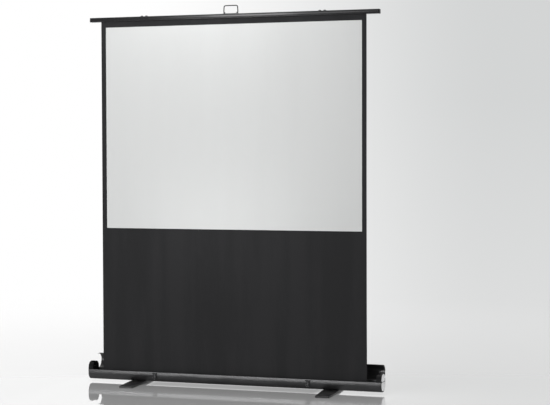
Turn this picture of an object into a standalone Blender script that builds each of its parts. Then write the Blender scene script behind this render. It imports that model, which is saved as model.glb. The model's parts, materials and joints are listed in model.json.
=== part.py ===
"""Portable floor-standing projection screen, raised, with its case open.

Metres, +Z up, +X to the right of the picture, the viewer on the -Y side.
The origin is on the floor under the middle of the case.
"""

import math

import bmesh
import bpy
from mathutils import Matrix, Vector

# Fits
SEAT_GAP = 0.0003
RUNNING_GAP = 0.0003
CUT_OVERRUN = 0.004

# Cloth
PICTURE_WIDTH = 1.600
PICTURE_HEIGHT = 1.200
SIDE_BORDER = 0.0275
TOP_BORDER = 0.035
PICTURE_LOW_Z = 0.9302
CLOTH_THICKNESS = 0.0005
PICTURE_SKIN = 0.0003

# Feet
FOOT_REACH = 0.238
FOOT_THICKNESS = 0.0125
FOOT_MID_WIDTH = 0.098
FOOT_TIP_WIDTH = 0.080
FOOT_TURN = math.radians(5.0)
FOOT_CORNER = 0.010
FOOT_EDGE = 0.003
FOOT_FROM_END = 0.314
PAD_THICKNESS = 0.0015
PAD_PROUD = 0.0015
PAD_RADIUS = 0.022
PAD_INSET = 0.048
FOOT_TO_CASE = 0.0005
FOOT_PIN_RADIUS = 0.004
FOOT_PIN_HEAD_RADIUS = 0.009
FOOT_PIN_HEAD = 0.0012

# Case: two curved shells that part a little above mid-height
CASE_LENGTH = 1.838
CASE_DEPTH = 0.092
CASE_HEIGHT = 0.1095
CASE_SQUARENESS = 2.5
CASE_POINTS = 22
CASE_WALL = 0.0018
PARTING_SHARE = 0.548132
PARTING_GAP = 0.0004
FRONT_LIP = 0.0045
LID_LIP = 0.0035
CAP_FLANGE = 0.0205
CAP_SPIGOT = 0.0085
CAP_EDGE = 0.0022
POCKET_WALL = 0.0085
POCKET_CLEARANCE = 0.002
COVER_THICKNESS = 0.0017
COVER_MARGIN = 0.0045
COVER_WAIST = 0.0065
LID_OPEN = math.radians(115.0)

# Lid hinge: knuckles of both shells share one rod
KNUCKLE_RADIUS = 0.0036
KNUCKLE_OUTSET = 0.0022
KNUCKLE_COUNT = 13
KNUCKLE_GAP = 0.0006
KNUCKLE_CLEARANCE = 0.0007
ROD_RADIUS = 0.0014
SEAL_WIDTH = 0.0055
SEAL_THICKNESS = 0.0012
SEAL_TAB = 0.020

# Roller
ROLLER_RADIUS = 0.0155
ROLLER_WALL = 0.0012
ROLLER_Y = -0.0035
ROLLER_Z = 0.0465
ROLLER_END_ROOM = 0.012
PLUG_DEPTH = 0.030
PLUG_LIP = 0.002
JOURNAL_RADIUS = 0.004
BUSH_WALL = 0.002
BUSH_LENGTH = 0.014
BUSH_FLANGE = 0.0015
SPRING_SHAFT_RADIUS = 0.004
SPRING_SHAFT_LENGTH = 0.220
SPRING_WALL = 0.0022
SPRING_LENGTH = 0.160

# Top bar
BAR_HALF_LENGTH = 0.8985
BAR_DEPTH = 0.037
BAR_HEIGHT = 0.026
BAR_Y = -0.0062
BAR_SQUARENESS = 3.2
BAR_POINTS = 28
BAR_WALL = 0.0016
BAR_KEEL = 0.0115
BAR_PLUG_LIP = 0.0025
BAR_PLUG_SPIGOT = 0.014
HEM_ROD_RADIUS = 0.0020
HEM_CHANNEL_RADIUS = 0.0034
HEM_SLOT = 0.0012
HEM_DEPTH = 0.0052
TEE_MOUTH = 0.0094
TEE_WIDTH = 0.0150
TEE_HEIGHT = 0.0034
TEE_LIP = 0.0016
TEE_Y = 0.0036

# Handle
HANDLE_SPAN = 0.088
HANDLE_RISE = 0.0505
HANDLE_WIRE = 0.0027
HANDLE_CORNER = 0.010
HANDLE_BEND = 0.0032
HANDLE_FLARE = 0.0015
HANDLE_Y = -0.0062
HANDLE_PLATE_LENGTH = 0.098
HANDLE_PLATE_DEPTH = 0.017
HANDLE_PLATE = 0.0018
EAR_RADIUS = 0.0042
EAR_THICKNESS = 0.003

# Folding arms, side by side behind the cloth
ARM_REST_ANGLE = math.radians(75.0)
ARM_X = 0.557
ARM_PIVOT_Z = 0.0795
ARM_TOP_DROP = 0.0150
ARM_HEIGHT = 0.016
ARM_HEAD_RADIUS = 0.009
ARM_THICKNESS = 0.0070
ARM_PITCH = 0.0084
ARM_FIRST_Y = -0.0125
ARM_WEB = 0.0024
ARM_FLANGE = 0.0020
ARM_BOSS_LENGTH = 0.016
PIN_RADIUS = 0.0035
PIN_HEAD_RADIUS = 0.0058
PIN_HEAD = 0.0012
OPEN_PIVOT_CLEARANCE = 0.0005
WASHER_RADIUS = 0.0075
WASHER_THICKNESS = 0.0008

# Brackets
PLATE = 0.0032
BLOCK_WIDTH = 0.025
BLOCK_TO_PIVOT = 0.0155
BLOCK_REAR_Y = 0.0400
BLOCK_FRONT_Y = 0.0235
TOP_EAR_WIDTH = 0.024
TOP_HEAD_LENGTH = 0.042
TOP_SCREW_RADIUS = 0.002
TOP_SCREW_HEAD_RADIUS = 0.0062
TOP_SCREW_HEAD = 0.0034
TOP_SCREW_BITE = 0.0018

# Latches on the front of the case
LATCH_FROM_END = 0.439
LATCH_WIDTH = 0.028
LATCH_PLATE = 0.0014
LATCH_LOW_Z = 0.040
LATCH_TOP_Z = 0.0700
LATCH_KNUCKLE = 0.0024
LATCH_KNUCKLE_OUT = 0.0048
LATCH_EAR = 0.0025
LEVER_WIDTH = 0.021
LEVER_LENGTH = 0.030
LEVER_THICKNESS = 0.0018
LOOP_WIRE = 0.0012
LOOP_WIDTH = 0.015
LOOP_LENGTH = 0.026
LOOP_DROP = 0.010
LOOP_CORNER = 0.003
LUG_WALL = 0.0012
LUG_WIDTH = 0.006
KEEPER_WIDTH = 0.010
KEEPER_HEIGHT = 0.012
KEEPER_ABOVE_PARTING = 0.006
KEEPER_HOOK = 0.0045

# Shares and counts
ROUND = 20
SMALL_ROUND = 12
CAP_EDGE_STEPS = 2
FOOT_EDGE_STEPS = 2
LEVER_TIP_SHARE = 0.16

BLACK_METAL = ((0.020, 0.020, 0.021), 0.42, 0.55)
CASE_METAL = ((0.045, 0.045, 0.047), 0.36, 0.60)
BLACK_PLASTIC = ((0.012, 0.012, 0.013), 0.50, 0.0)
GREY_PLASTIC = ((0.46, 0.46, 0.47), 0.38, 0.0)
BLACK_CLOTH = ((0.028, 0.028, 0.030), 0.88, 0.0)
WHITE_CLOTH = ((0.78, 0.79, 0.79), 0.80, 0.0)
STEEL = ((0.52, 0.52, 0.53), 0.30, 1.0)
DARK_STEEL = ((0.12, 0.12, 0.125), 0.35, 0.9)
ALUMINIUM = ((0.62, 0.63, 0.64), 0.35, 1.0)
RUBBER = ((0.018, 0.018, 0.018), 0.85, 0.0)

# Places that follow from the sizes above
FLOOR_Z = 0.0
FOOT_LOW_Z = FLOOR_Z + PAD_PROUD
FOOT_TOP_Z = FOOT_LOW_Z + FOOT_THICKNESS
CASE_LOW_Z = FOOT_TOP_Z + FOOT_TO_CASE
CASE_MID_Z = CASE_LOW_Z + CASE_HEIGHT / 2
PARTING_Z = CASE_LOW_Z + CASE_HEIGHT * PARTING_SHARE
HALF_CASE = CASE_LENGTH / 2
FOOT_X = HALF_CASE - FOOT_FROM_END
LATCH_X = HALF_CASE - LATCH_FROM_END
CAP_FACE_X = HALF_CASE - COVER_THICKNESS - SEAT_GAP
SHELL_HALF = CAP_FACE_X - CAP_FLANGE
CAP_INNER_X = SHELL_HALF - CAP_SPIGOT
HINGE_Y = CASE_DEPTH / 2 + KNUCKLE_OUTSET
HINGE_Z = PARTING_Z
CLOTH_BACK_Y = ROLLER_Y - ROLLER_RADIUS - SEAT_GAP
CLOTH_FRONT_Y = CLOTH_BACK_Y - CLOTH_THICKNESS
CLOTH_HALF = PICTURE_WIDTH / 2 + SIDE_BORDER
BAR_LOW_Z = PICTURE_LOW_Z + PICTURE_HEIGHT + TOP_BORDER
BAR_MID_Z = BAR_LOW_Z + BAR_HEIGHT / 2
BAR_TOP_Z = BAR_LOW_Z + BAR_HEIGHT
CLOTH_TOP_Z = BAR_LOW_Z + HEM_DEPTH + HEM_ROD_RADIUS / 2
ARM_TOP_Z = BAR_LOW_Z - ARM_TOP_DROP
ARM_LENGTH = (ARM_TOP_Z - ARM_PIVOT_Z) / (2 * math.sin(ARM_REST_ANGLE))
BAR_FOLDED_Z = ARM_PIVOT_Z + ARM_TOP_DROP
POCKET_Z = BAR_FOLDED_Z - POCKET_CLEARANCE
ARM_LAYERS = {
    "lower_left": ARM_FIRST_Y,
    "upper_left": ARM_FIRST_Y + ARM_PITCH,
    "upper_right": ARM_FIRST_Y + 2 * ARM_PITCH,
    "lower_right": ARM_FIRST_Y + 3 * ARM_PITCH,
}
LAYER_GAP = ARM_PITCH - ARM_THICKNESS
SIDES = {"left": -1, "right": 1}


def clear_scene():
    for item in list(bpy.data.objects):
        bpy.data.objects.remove(item, do_unlink=True)


def dress(item, finish):
    """Give a sub-part its own material from a (colour, roughness, metallic) finish."""
    colour, roughness, metallic = finish
    material = bpy.data.materials.new(item.name + "_finish")
    material.use_nodes = True
    shader = material.node_tree.nodes["Principled BSDF"]
    shader.inputs["Base Color"].default_value = (*colour, 1.0)
    shader.inputs["Roughness"].default_value = roughness
    shader.inputs["Metallic"].default_value = metallic
    item.data.materials.append(material)


def add_mesh(name, bm, finish=None):
    """Turn a bmesh into an object; a shape with no finish is a cutter or a guide."""
    bmesh.ops.recalc_face_normals(bm, faces=bm.faces[:])
    mesh = bpy.data.meshes.new(name)
    bm.to_mesh(mesh)
    bm.free()
    mesh.shade_smooth()
    mesh.set_sharp_from_angle(angle=math.radians(30.0))
    item = bpy.data.objects.new(name, mesh)
    bpy.context.scene.collection.objects.link(item)
    if finish is None:
        item.hide_render = True
        item.display_type = "WIRE"
    else:
        dress(item, finish)
    return item


def place(axis, u, v, w):
    """A profile point (u, v) at depth w along an axis, as a point in space."""
    if axis == "X":
        return Vector((w, u, v))
    if axis == "Y":
        return Vector((u, w, v))
    return Vector((u, v, w))


def prism(name, axis, outline, start, end, finish=None):
    """Extrude a closed outline along an axis."""
    bm = bmesh.new()
    base = bm.faces.new([bm.verts.new(place(axis, u, v, start)) for u, v in outline])
    grown = bmesh.ops.extrude_face_region(bm, geom=[base])
    shift = place(axis, 0.0, 0.0, end - start)
    moved = [g for g in grown["geom"] if isinstance(g, bmesh.types.BMVert)]
    bmesh.ops.translate(bm, verts=moved, vec=shift)
    return add_mesh(name, bm, finish)


def turned(name, axis, centre, profile, finish=None, steps=ROUND):
    """Spin a (radius, depth) profile round an axis through centre (u, v)."""
    bm = bmesh.new()
    u0, v0 = centre
    ring = [bm.verts.new(place(axis, u0 + radius, v0, depth)) for radius, depth in profile]
    edges = [bm.edges.new(pair) for pair in zip(ring, ring[1:])]
    if profile[0][0] > 0.0 or profile[-1][0] > 0.0:
        edges.append(bm.edges.new((ring[-1], ring[0])))
    bmesh.ops.spin(
        bm,
        geom=ring + edges,
        cent=place(axis, u0, v0, 0.0),
        axis=place(axis, 0.0, 0.0, 1.0),
        angle=math.tau,
        steps=steps,
        use_duplicate=False,
    )
    bmesh.ops.remove_doubles(bm, verts=bm.verts[:], dist=SEAT_GAP / 100)
    return add_mesh(name, bm, finish)


def rod_profile(radius, start, end):
    return [(0.0, start), (radius, start), (radius, end), (0.0, end)]


def tube_profile(inner, outer, start, end):
    return [(inner, start), (outer, start), (outer, end), (inner, end)]


def rectangle(u0, u1, v0, v1):
    return [(u0, v0), (u1, v0), (u1, v1), (u0, v1)]


def arc(centre, radius, start, end, count):
    """Points on a circular arc, both ends included; angles in radians."""
    points = []
    for i in range(count + 1):
        angle = start + (end - start) * i / count
        points.append((centre[0] + radius * math.cos(angle), centre[1] + radius * math.sin(angle)))
    return points


def circle(centre, radius, count=SMALL_ROUND):
    return arc(centre, radius, 0.0, math.tau, count)[:-1]


def rounded_rectangle(u0, u1, v0, v1, corner, steps=4):
    quarter = math.pi / 2
    corners = [(u1 - corner, v1 - corner), (u0 + corner, v1 - corner)]
    corners += [(u0 + corner, v0 + corner), (u1 - corner, v0 + corner)]
    points = []
    for i, middle in enumerate(corners):
        points += arc(middle, corner, i * quarter, (i + 1) * quarter, steps)
    return points


def oval(half_u, half_v, squareness, middle, start, end, count):
    """Points on a superellipse from angle start to end, anticlockwise, ends included."""
    points = []
    for i in range(count + 1):
        angle = start + (end - start) * i / count
        c = math.cos(angle)
        s = math.sin(angle)
        u = half_u * math.copysign(abs(c) ** (2 / squareness), c)
        v = half_v * math.copysign(abs(s) ** (2 / squareness), s)
        points.append((middle[0] + u, middle[1] + v))
    return points


def case_curve(inset, start_z, end_z, lower, count=CASE_POINTS):
    """The case's section, inset from its outside, from the front at start_z to the rear at
    end_z, under the case if lower and over it if not."""
    half_v = CASE_HEIGHT / 2 - inset
    angle_at = [
        math.asin(math.copysign((abs(z - CASE_MID_Z) / half_v) ** (CASE_SQUARENESS / 2), z - CASE_MID_Z))
        for z in (start_z, end_z)
    ]
    first = math.pi - angle_at[0]
    last = (math.tau if lower else 0.0) + angle_at[1]
    half_u = CASE_DEPTH / 2 - inset
    return oval(half_u, half_v, CASE_SQUARENESS, (0.0, CASE_MID_Z), first, last, count)


def case_floor_z(inset, y):
    """Height of the case's lower curve, inset from its outside, at distance y from its middle."""
    share = abs(y) / (CASE_DEPTH / 2 - inset)
    rise = (1.0 - share**CASE_SQUARENESS) ** (1 / CASE_SQUARENESS)
    return CASE_MID_Z - (CASE_HEIGHT / 2 - inset) * rise


def front_skin(offset, low, high, count=4):
    """The case's front face from height low to high, moved out by offset."""
    points = []
    for i in range(count + 1):
        z = low + (high - low) * i / count
        share = abs(z - CASE_MID_Z) / (CASE_HEIGHT / 2 + offset)
        bulge = (1.0 - share**CASE_SQUARENESS) ** (1 / CASE_SQUARENESS)
        points.append((-(CASE_DEPTH / 2 + offset) * bulge, z))
    return points


def case_ring(inset, count=CASE_POINTS * 2):
    half_u = CASE_DEPTH / 2 - inset
    half_v = CASE_HEIGHT / 2 - inset
    return oval(half_u, half_v, CASE_SQUARENESS, (0.0, CASE_MID_Z), 0.0, math.tau, count)[:-1]


def combine(item, tool, operation):
    modifier = item.modifiers.new(tool.name, "BOOLEAN")
    modifier.operation = operation
    modifier.solver = "EXACT"
    modifier.object = tool


def cut(item, tool):
    combine(item, tool, "DIFFERENCE")


def join(item, tool):
    combine(item, tool, "UNION")


def keep_inside(item, tool):
    combine(item, tool, "INTERSECT")


def soften(item, width, steps=1, limit=math.radians(40.0)):
    """Round the sharp edges of a plain solid."""
    bevel = item.modifiers.new("edge", "BEVEL")
    bevel.width = width
    bevel.segments = steps
    bevel.limit_method = "ANGLE"
    bevel.angle_limit = limit


def set_origin(item, point):
    """Put an object's origin on its joint's axis, with its shape left in place."""
    item.data.transform(Matrix.Translation(-Vector(point)))
    item.location = point


def wire(name, points, radius, finish, cyclic=False):
    """A round wire through a list of points, with capped ends."""
    curve = bpy.data.curves.new(name, "CURVE")
    curve.dimensions = "3D"
    curve.bevel_depth = radius
    curve.bevel_resolution = 2
    curve.use_fill_caps = True
    spline = curve.splines.new("POLY")
    spline.points.add(len(points) - 1)
    for point, spot in zip(spline.points, points):
        point.co = (*spot, 1.0)
    spline.use_cyclic_u = cyclic
    item = bpy.data.objects.new(name, curve)
    bpy.context.scene.collection.objects.link(item)
    dress(item, finish)
    return item


def knuckle_boxes(name, owner, clearance):
    """One cutter with a box at each knuckle of the hinge that the other shell has."""
    bm = bmesh.new()
    pitch = 2 * SHELL_HALF / KNUCKLE_COUNT
    depth = KNUCKLE_RADIUS + clearance
    for i in range(KNUCKLE_COUNT):
        if (i % 2 == 0) == (owner == "shell"):
            continue
        low_x = -SHELL_HALF + i * pitch - KNUCKLE_GAP / 2
        high_x = low_x + pitch + KNUCKLE_GAP
        box = bmesh.ops.create_cube(bm, size=1.0)
        low = Vector((low_x, HINGE_Y - depth, HINGE_Z - depth))
        high = Vector((high_x, HINGE_Y + depth, HINGE_Z + depth))
        size = high - low
        bmesh.ops.scale(bm, verts=box["verts"], vec=size)
        bmesh.ops.translate(bm, verts=box["verts"], vec=(low + high) / 2)
    return add_mesh(name, bm)


def hinge_bore(name):
    reach = SHELL_HALF + CUT_OVERRUN
    profile = rod_profile(ROD_RADIUS + RUNNING_GAP, -reach, reach)
    return turned(name, "X", (HINGE_Y, HINGE_Z), profile, steps=SMALL_ROUND)


def make_shell():
    """Lower half of the case: curved trough, returned front edge, knuckles behind."""
    outside = case_curve(0.0, PARTING_Z, PARTING_Z, True)
    inside = case_curve(CASE_WALL, PARTING_Z - CASE_WALL, PARTING_Z, True)
    lip_y = outside[0][0] + FRONT_LIP
    lip = [(lip_y, PARTING_Z - CASE_WALL), (lip_y, PARTING_Z)]
    outline = outside + list(reversed(inside)) + lip
    shell = prism("housing_shell", "X", outline, -SHELL_HALF, SHELL_HALF, CASE_METAL)
    barrel = circle((HINGE_Y, HINGE_Z), KNUCKLE_RADIUS)
    join(shell, prism("shell_barrel", "X", barrel, -SHELL_HALF, SHELL_HALF))
    cut(shell, knuckle_boxes("shell_knuckle_gaps", "shell", KNUCKLE_CLEARANCE))
    cut(shell, hinge_bore("shell_hinge_bore"))
    for side, sign in SIDES.items():
        hole = rod_profile(FOOT_PIN_RADIUS + RUNNING_GAP, FLOOR_Z, CASE_LOW_Z + CASE_WALL + CUT_OVERRUN)
        cut(shell, turned(f"foot_pin_hole_{side}", "Z", (sign * FOOT_X, 0.0), hole, steps=SMALL_ROUND))
    return shell


def make_lid():
    """Upper half of the case, made closed and then swung open about the hinge rod."""
    low_z = PARTING_Z + PARTING_GAP
    outside = case_curve(0.0, low_z, low_z, False)
    inside = case_curve(CASE_WALL, low_z + CASE_WALL, low_z, False)
    lip_y = outside[0][0] + LID_LIP
    lip = [(lip_y, low_z + CASE_WALL), (lip_y, low_z)]
    outline = outside + list(reversed(inside)) + lip
    lid = prism("housing_lid", "X", outline, -SHELL_HALF, SHELL_HALF, CASE_METAL)
    barrel = circle((HINGE_Y, HINGE_Z), KNUCKLE_RADIUS)
    barrel_tool = prism("lid_barrel", "X", barrel, -SHELL_HALF, SHELL_HALF)
    gap_tool = knuckle_boxes("lid_knuckle_gaps", "lid", KNUCKLE_CLEARANCE)
    bore_tool = hinge_bore("lid_hinge_bore")
    join(lid, barrel_tool)
    cut(lid, gap_tool)
    cut(lid, bore_tool)
    hinge = (0.0, HINGE_Y, HINGE_Z)
    set_origin(lid, hinge)
    pieces = [make_lid_seal(lip_y, low_z)]
    for side, sign in SIDES.items():
        pieces.append(make_keeper(side, sign))
    for piece in [barrel_tool, gap_tool, bore_tool] + pieces:
        set_origin(piece, hinge)
        piece.parent = lid
        piece.location = (0.0, 0.0, 0.0)
    lid.rotation_euler.x = -LID_OPEN
    return lid


def make_lid_seal(lip_y, low_z):
    """Flexible strip under the lid's free edge; its left end sticks out past the lid."""
    start_y = lip_y + SEAT_GAP
    roof_z = low_z + CASE_WALL
    outline = rectangle(start_y, start_y + SEAL_THICKNESS, low_z, low_z + SEAL_WIDTH)
    left = -SHELL_HALF - SEAL_TAB
    outline[2] = (start_y + SEAL_THICKNESS, roof_z + SEAL_WIDTH / 2)
    outline[3] = (start_y, roof_z + SEAL_WIDTH / 2)
    return prism("lid_edge_seal", "X", outline, left, SHELL_HALF, RUBBER)


def make_keeper(side, sign):
    """Hook plate on the outside of the lid, which the latch loop pulls down on."""
    low = PARTING_Z + KEEPER_ABOVE_PARTING
    high = low + KEEPER_HEIGHT
    face = front_skin(SEAT_GAP, low, high)
    front = [(y - LATCH_PLATE, z) for y, z in face]
    y, z = front[-1]
    hook = [(y - KEEPER_HOOK, z), (y - KEEPER_HOOK, z - KEEPER_HOOK)]
    hook_y = y - KEEPER_HOOK + LATCH_PLATE
    hook += [(hook_y, z - KEEPER_HOOK), (hook_y, z - LATCH_PLATE)]
    hook.append((y, z - LATCH_PLATE))
    outline = face + hook + list(reversed(front[:-1]))
    x = sign * LATCH_X
    return prism(f"lid_keeper_{side}", "X", outline, x - KEEPER_WIDTH / 2, x + KEEPER_WIDTH / 2, STEEL)


def make_hinge_rod():
    rod = rod_profile(ROD_RADIUS, -SHELL_HALF, SHELL_HALF)
    turned("lid_hinge_rod", "X", (HINGE_Y, HINGE_Z), rod, STEEL, SMALL_ROUND)


def make_end_cap(side, sign):
    """Moulded end: outer flange, spigot inside the shells, pocket for the folded bar."""
    inset = CASE_WALL + SEAT_GAP
    flange = (sign * (SHELL_HALF + SEAT_GAP), sign * CAP_FACE_X)
    cap = prism(f"end_cap_{side}", "X", case_ring(0.0), *flange, BLACK_PLASTIC)
    soften(cap, CAP_EDGE, CAP_EDGE_STEPS)
    spigot = (sign * CAP_INNER_X, sign * (SHELL_HALF + CAP_FLANGE / 2))
    join(cap, prism(f"cap_spigot_{side}", "X", case_ring(inset), *spigot))
    low_y = BAR_Y - BAR_DEPTH / 2 - POCKET_CLEARANCE
    high_y = BAR_Y + BAR_DEPTH / 2 + POCKET_CLEARANCE
    pocket = rectangle(low_y, high_y, POCKET_Z, CASE_LOW_Z + CASE_HEIGHT + CUT_OVERRUN)
    depth = (sign * (CAP_INNER_X - CUT_OVERRUN), sign * (CAP_FACE_X - POCKET_WALL))
    cut(cap, prism(f"cap_pocket_{side}", "X", pocket, *depth))
    seat = JOURNAL_RADIUS + RUNNING_GAP + BUSH_WALL + SEAT_GAP
    bore = (sign * (CAP_INNER_X - CUT_OVERRUN), sign * (CAP_INNER_X + BUSH_LENGTH + SEAT_GAP))
    cut(cap, turned(f"cap_bore_{side}", "X", (ROLLER_Y, ROLLER_Z), rod_profile(seat, *bore)))
    lip_clear = FRONT_LIP + SEAT_GAP
    front = -CASE_DEPTH / 2
    notch = rectangle(front, front + lip_clear, PARTING_Z - CASE_WALL - SEAT_GAP, PARTING_Z + SEAT_GAP)
    reach = (sign * (CAP_INNER_X - CUT_OVERRUN), sign * (SHELL_HALF + SEAT_GAP))
    cut(cap, prism(f"cap_lip_notch_{side}", "X", notch, *reach))
    return cap


def make_end_cover(side, sign):
    """Light cover on the cap's outer face, drawn in at the line where the case parts."""
    ring = case_ring(COVER_MARGIN)
    outline = []
    for y, z in ring:
        nearness = max(0.0, 1.0 - abs(z - PARTING_Z) / COVER_WAIST)
        outline.append((y * (1.0 - COVER_WAIST * nearness / (CASE_DEPTH / 2)), z))
    start = CAP_FACE_X + SEAT_GAP
    cover = prism(f"end_cover_{side}", "X", outline, sign * start, sign * HALF_CASE, GREY_PLASTIC)
    soften(cover, COVER_THICKNESS / 4)
    return cover


def make_roller():
    """Roller tube with a journal plug on the left and a sprung plug on the right."""
    end = CAP_INNER_X - ROLLER_END_ROOM
    centre = (ROLLER_Y, ROLLER_Z)
    inner = ROLLER_RADIUS - ROLLER_WALL
    turned("roller_tube", "X", centre, tube_profile(inner, ROLLER_RADIUS, -end, end), ALUMINIUM)
    fit = inner - SEAT_GAP
    lip = end + SEAT_GAP
    bush_face = CAP_INNER_X - BUSH_FLANGE
    journal_end = CAP_INNER_X + BUSH_LENGTH - BUSH_FLANGE
    left = [(0.0, -end + PLUG_DEPTH), (fit, -end + PLUG_DEPTH), (fit, -lip)]
    collar = BUSH_WALL + JOURNAL_RADIUS
    left += [(ROLLER_RADIUS, -lip), (ROLLER_RADIUS, -lip - PLUG_LIP), (collar, -lip - PLUG_LIP)]
    left += [(collar, -bush_face + SEAT_GAP), (JOURNAL_RADIUS, -bush_face + SEAT_GAP)]
    left += [(JOURNAL_RADIUS, -journal_end), (0.0, -journal_end)]
    turned("roller_plug_left", "X", centre, left, BLACK_PLASTIC)
    bore = SPRING_SHAFT_RADIUS + RUNNING_GAP
    right = [(bore, end - PLUG_DEPTH), (fit, end - PLUG_DEPTH), (fit, lip), (ROLLER_RADIUS, lip)]
    right += [(ROLLER_RADIUS, lip + PLUG_LIP), (bore, lip + PLUG_LIP)]
    turned("roller_plug_right", "X", centre, right, BLACK_PLASTIC)
    for side, sign in SIDES.items():
        outer = JOURNAL_RADIUS + RUNNING_GAP + BUSH_WALL
        flange = outer + BUSH_WALL
        hole = JOURNAL_RADIUS + RUNNING_GAP
        seat = sign * (CAP_INNER_X - SEAT_GAP)
        far = sign * (CAP_INNER_X + BUSH_LENGTH)
        profile = [(hole, sign * bush_face), (flange, sign * bush_face), (flange, seat)]
        profile += [(outer, seat), (outer, far), (hole, far)]
        turned(f"roller_bush_{side}", "X", centre, profile, STEEL)
    shaft_start = journal_end - SPRING_SHAFT_LENGTH
    shaft = rod_profile(SPRING_SHAFT_RADIUS, shaft_start, journal_end)
    turned("spring_shaft", "X", centre, shaft, STEEL, SMALL_ROUND)
    spring_end = end - PLUG_DEPTH - SEAT_GAP
    coil = tube_profile(bore, bore + SPRING_WALL, spring_end - SPRING_LENGTH, spring_end)
    turned("roller_spring", "X", centre, coil, DARK_STEEL, SMALL_ROUND)


def make_cloth():
    """Black backing cloth from the roller up into the bar, and the white picture on it."""
    sheet = rectangle(-CLOTH_HALF, CLOTH_HALF, ROLLER_Z, CLOTH_TOP_Z)
    prism("screen_fabric", "Y", sheet, CLOTH_FRONT_Y, CLOTH_BACK_Y, BLACK_CLOTH)
    half = PICTURE_WIDTH / 2
    picture = rectangle(-half, half, PICTURE_LOW_Z, PICTURE_LOW_Z + PICTURE_HEIGHT)
    face = CLOTH_FRONT_Y - SEAT_GAP
    prism("picture_surface", "Y", picture, face - PICTURE_SKIN, face, WHITE_CLOTH)


def bar_ring(inset, count=BAR_POINTS):
    half_u = BAR_DEPTH / 2 - inset
    half_v = BAR_HEIGHT / 2 - inset
    return oval(half_u, half_v, BAR_SQUARENESS, (BAR_Y, BAR_MID_Z), 0.0, math.tau, count)[:-1]


def bar_room(inset, keel_z):
    """The bar's hollow above its keel, as an outline inset from the bar's outside."""
    ring = [p for p in bar_ring(inset) if p[1] > keel_z]
    ring.sort(key=lambda p: math.atan2(p[1] - BAR_LOW_Z, p[0] - BAR_Y))
    return [(ring[0][0], keel_z)] + ring + [(ring[-1][0], keel_z)]


def hem_centre():
    return (CLOTH_BACK_Y + SEAT_GAP + HEM_ROD_RADIUS, BAR_LOW_Z + HEM_DEPTH)


def make_bar():
    """Top bar extrusion: hollow above, hem channel and bracket tee slot in its keel."""
    bar = prism("top_bar", "X", bar_ring(0.0), -BAR_HALF_LENGTH, BAR_HALF_LENGTH, BLACK_METAL)
    reach = BAR_HALF_LENGTH + CUT_OVERRUN
    keel_z = BAR_LOW_Z + BAR_KEEL
    hollow = bar_room(BAR_WALL, keel_z)
    cut(bar, prism("bar_hollow", "X", hollow, -reach, reach))
    middle = hem_centre()
    cut(bar, prism("hem_channel", "X", circle(middle, HEM_CHANNEL_RADIUS), -reach, reach))
    slot_y = (CLOTH_FRONT_Y + CLOTH_BACK_Y) / 2
    slot = rectangle(slot_y - HEM_SLOT / 2, slot_y + HEM_SLOT / 2, BAR_LOW_Z - CUT_OVERRUN, middle[1])
    cut(bar, prism("hem_slot", "X", slot, -reach, reach))
    mouth_y = (TEE_Y - TEE_MOUTH / 2, TEE_Y + TEE_MOUTH / 2)
    mouth = rectangle(*mouth_y, BAR_LOW_Z - CUT_OVERRUN, tee_low() + TEE_HEIGHT / 2)
    cut(bar, prism("tee_mouth", "X", mouth, -reach, reach))
    tee = rectangle(TEE_Y - TEE_WIDTH / 2, TEE_Y + TEE_WIDTH / 2, tee_low(), tee_low() + TEE_HEIGHT)
    cut(bar, prism("tee_slot", "X", tee, -reach, reach))
    for side, sign in SIDES.items():
        for end, x in zip(("outer", "inner"), screw_places(sign)):
            hole = rod_profile(TOP_SCREW_RADIUS + SEAT_GAP, tee_low(), BAR_TOP_Z + CUT_OVERRUN)
            cut(bar, turned(f"bar_hole_{side}_{end}", "Z", (x, TEE_Y), hole, steps=SMALL_ROUND))
    middle = hem_centre()
    rod = rod_profile(HEM_ROD_RADIUS, -CLOTH_HALF, CLOTH_HALF)
    turned("hem_rod", "X", middle, rod, DARK_STEEL, SMALL_ROUND)
    return bar


def tee_low():
    return BAR_LOW_Z + TEE_LIP


def screw_places(sign):
    offset = TOP_HEAD_LENGTH / 2 - TOP_SCREW_HEAD_RADIUS
    return (sign * (ARM_X + offset), sign * (ARM_X - offset))


def make_bar_plug(side, sign):
    """Plastic end of the bar: a lip of the bar's outline on a spigot in its hollow."""
    start = BAR_HALF_LENGTH + SEAT_GAP
    lip = (sign * start, sign * (start + BAR_PLUG_LIP))
    plug = prism(f"bar_plug_{side}", "X", bar_ring(0.0), *lip, BLACK_PLASTIC)
    soften(plug, BAR_PLUG_LIP / 3)
    spigot = bar_room(BAR_WALL + 2 * SEAT_GAP, BAR_LOW_Z + BAR_KEEL + SEAT_GAP)
    depth = (sign * (start - BAR_PLUG_SPIGOT), sign * (start + BAR_PLUG_LIP / 2))
    join(plug, prism(f"bar_plug_spigot_{side}", "X", spigot, *depth))


def ear_height():
    return BAR_TOP_Z + SEAT_GAP + HANDLE_PLATE + EAR_RADIUS


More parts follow.
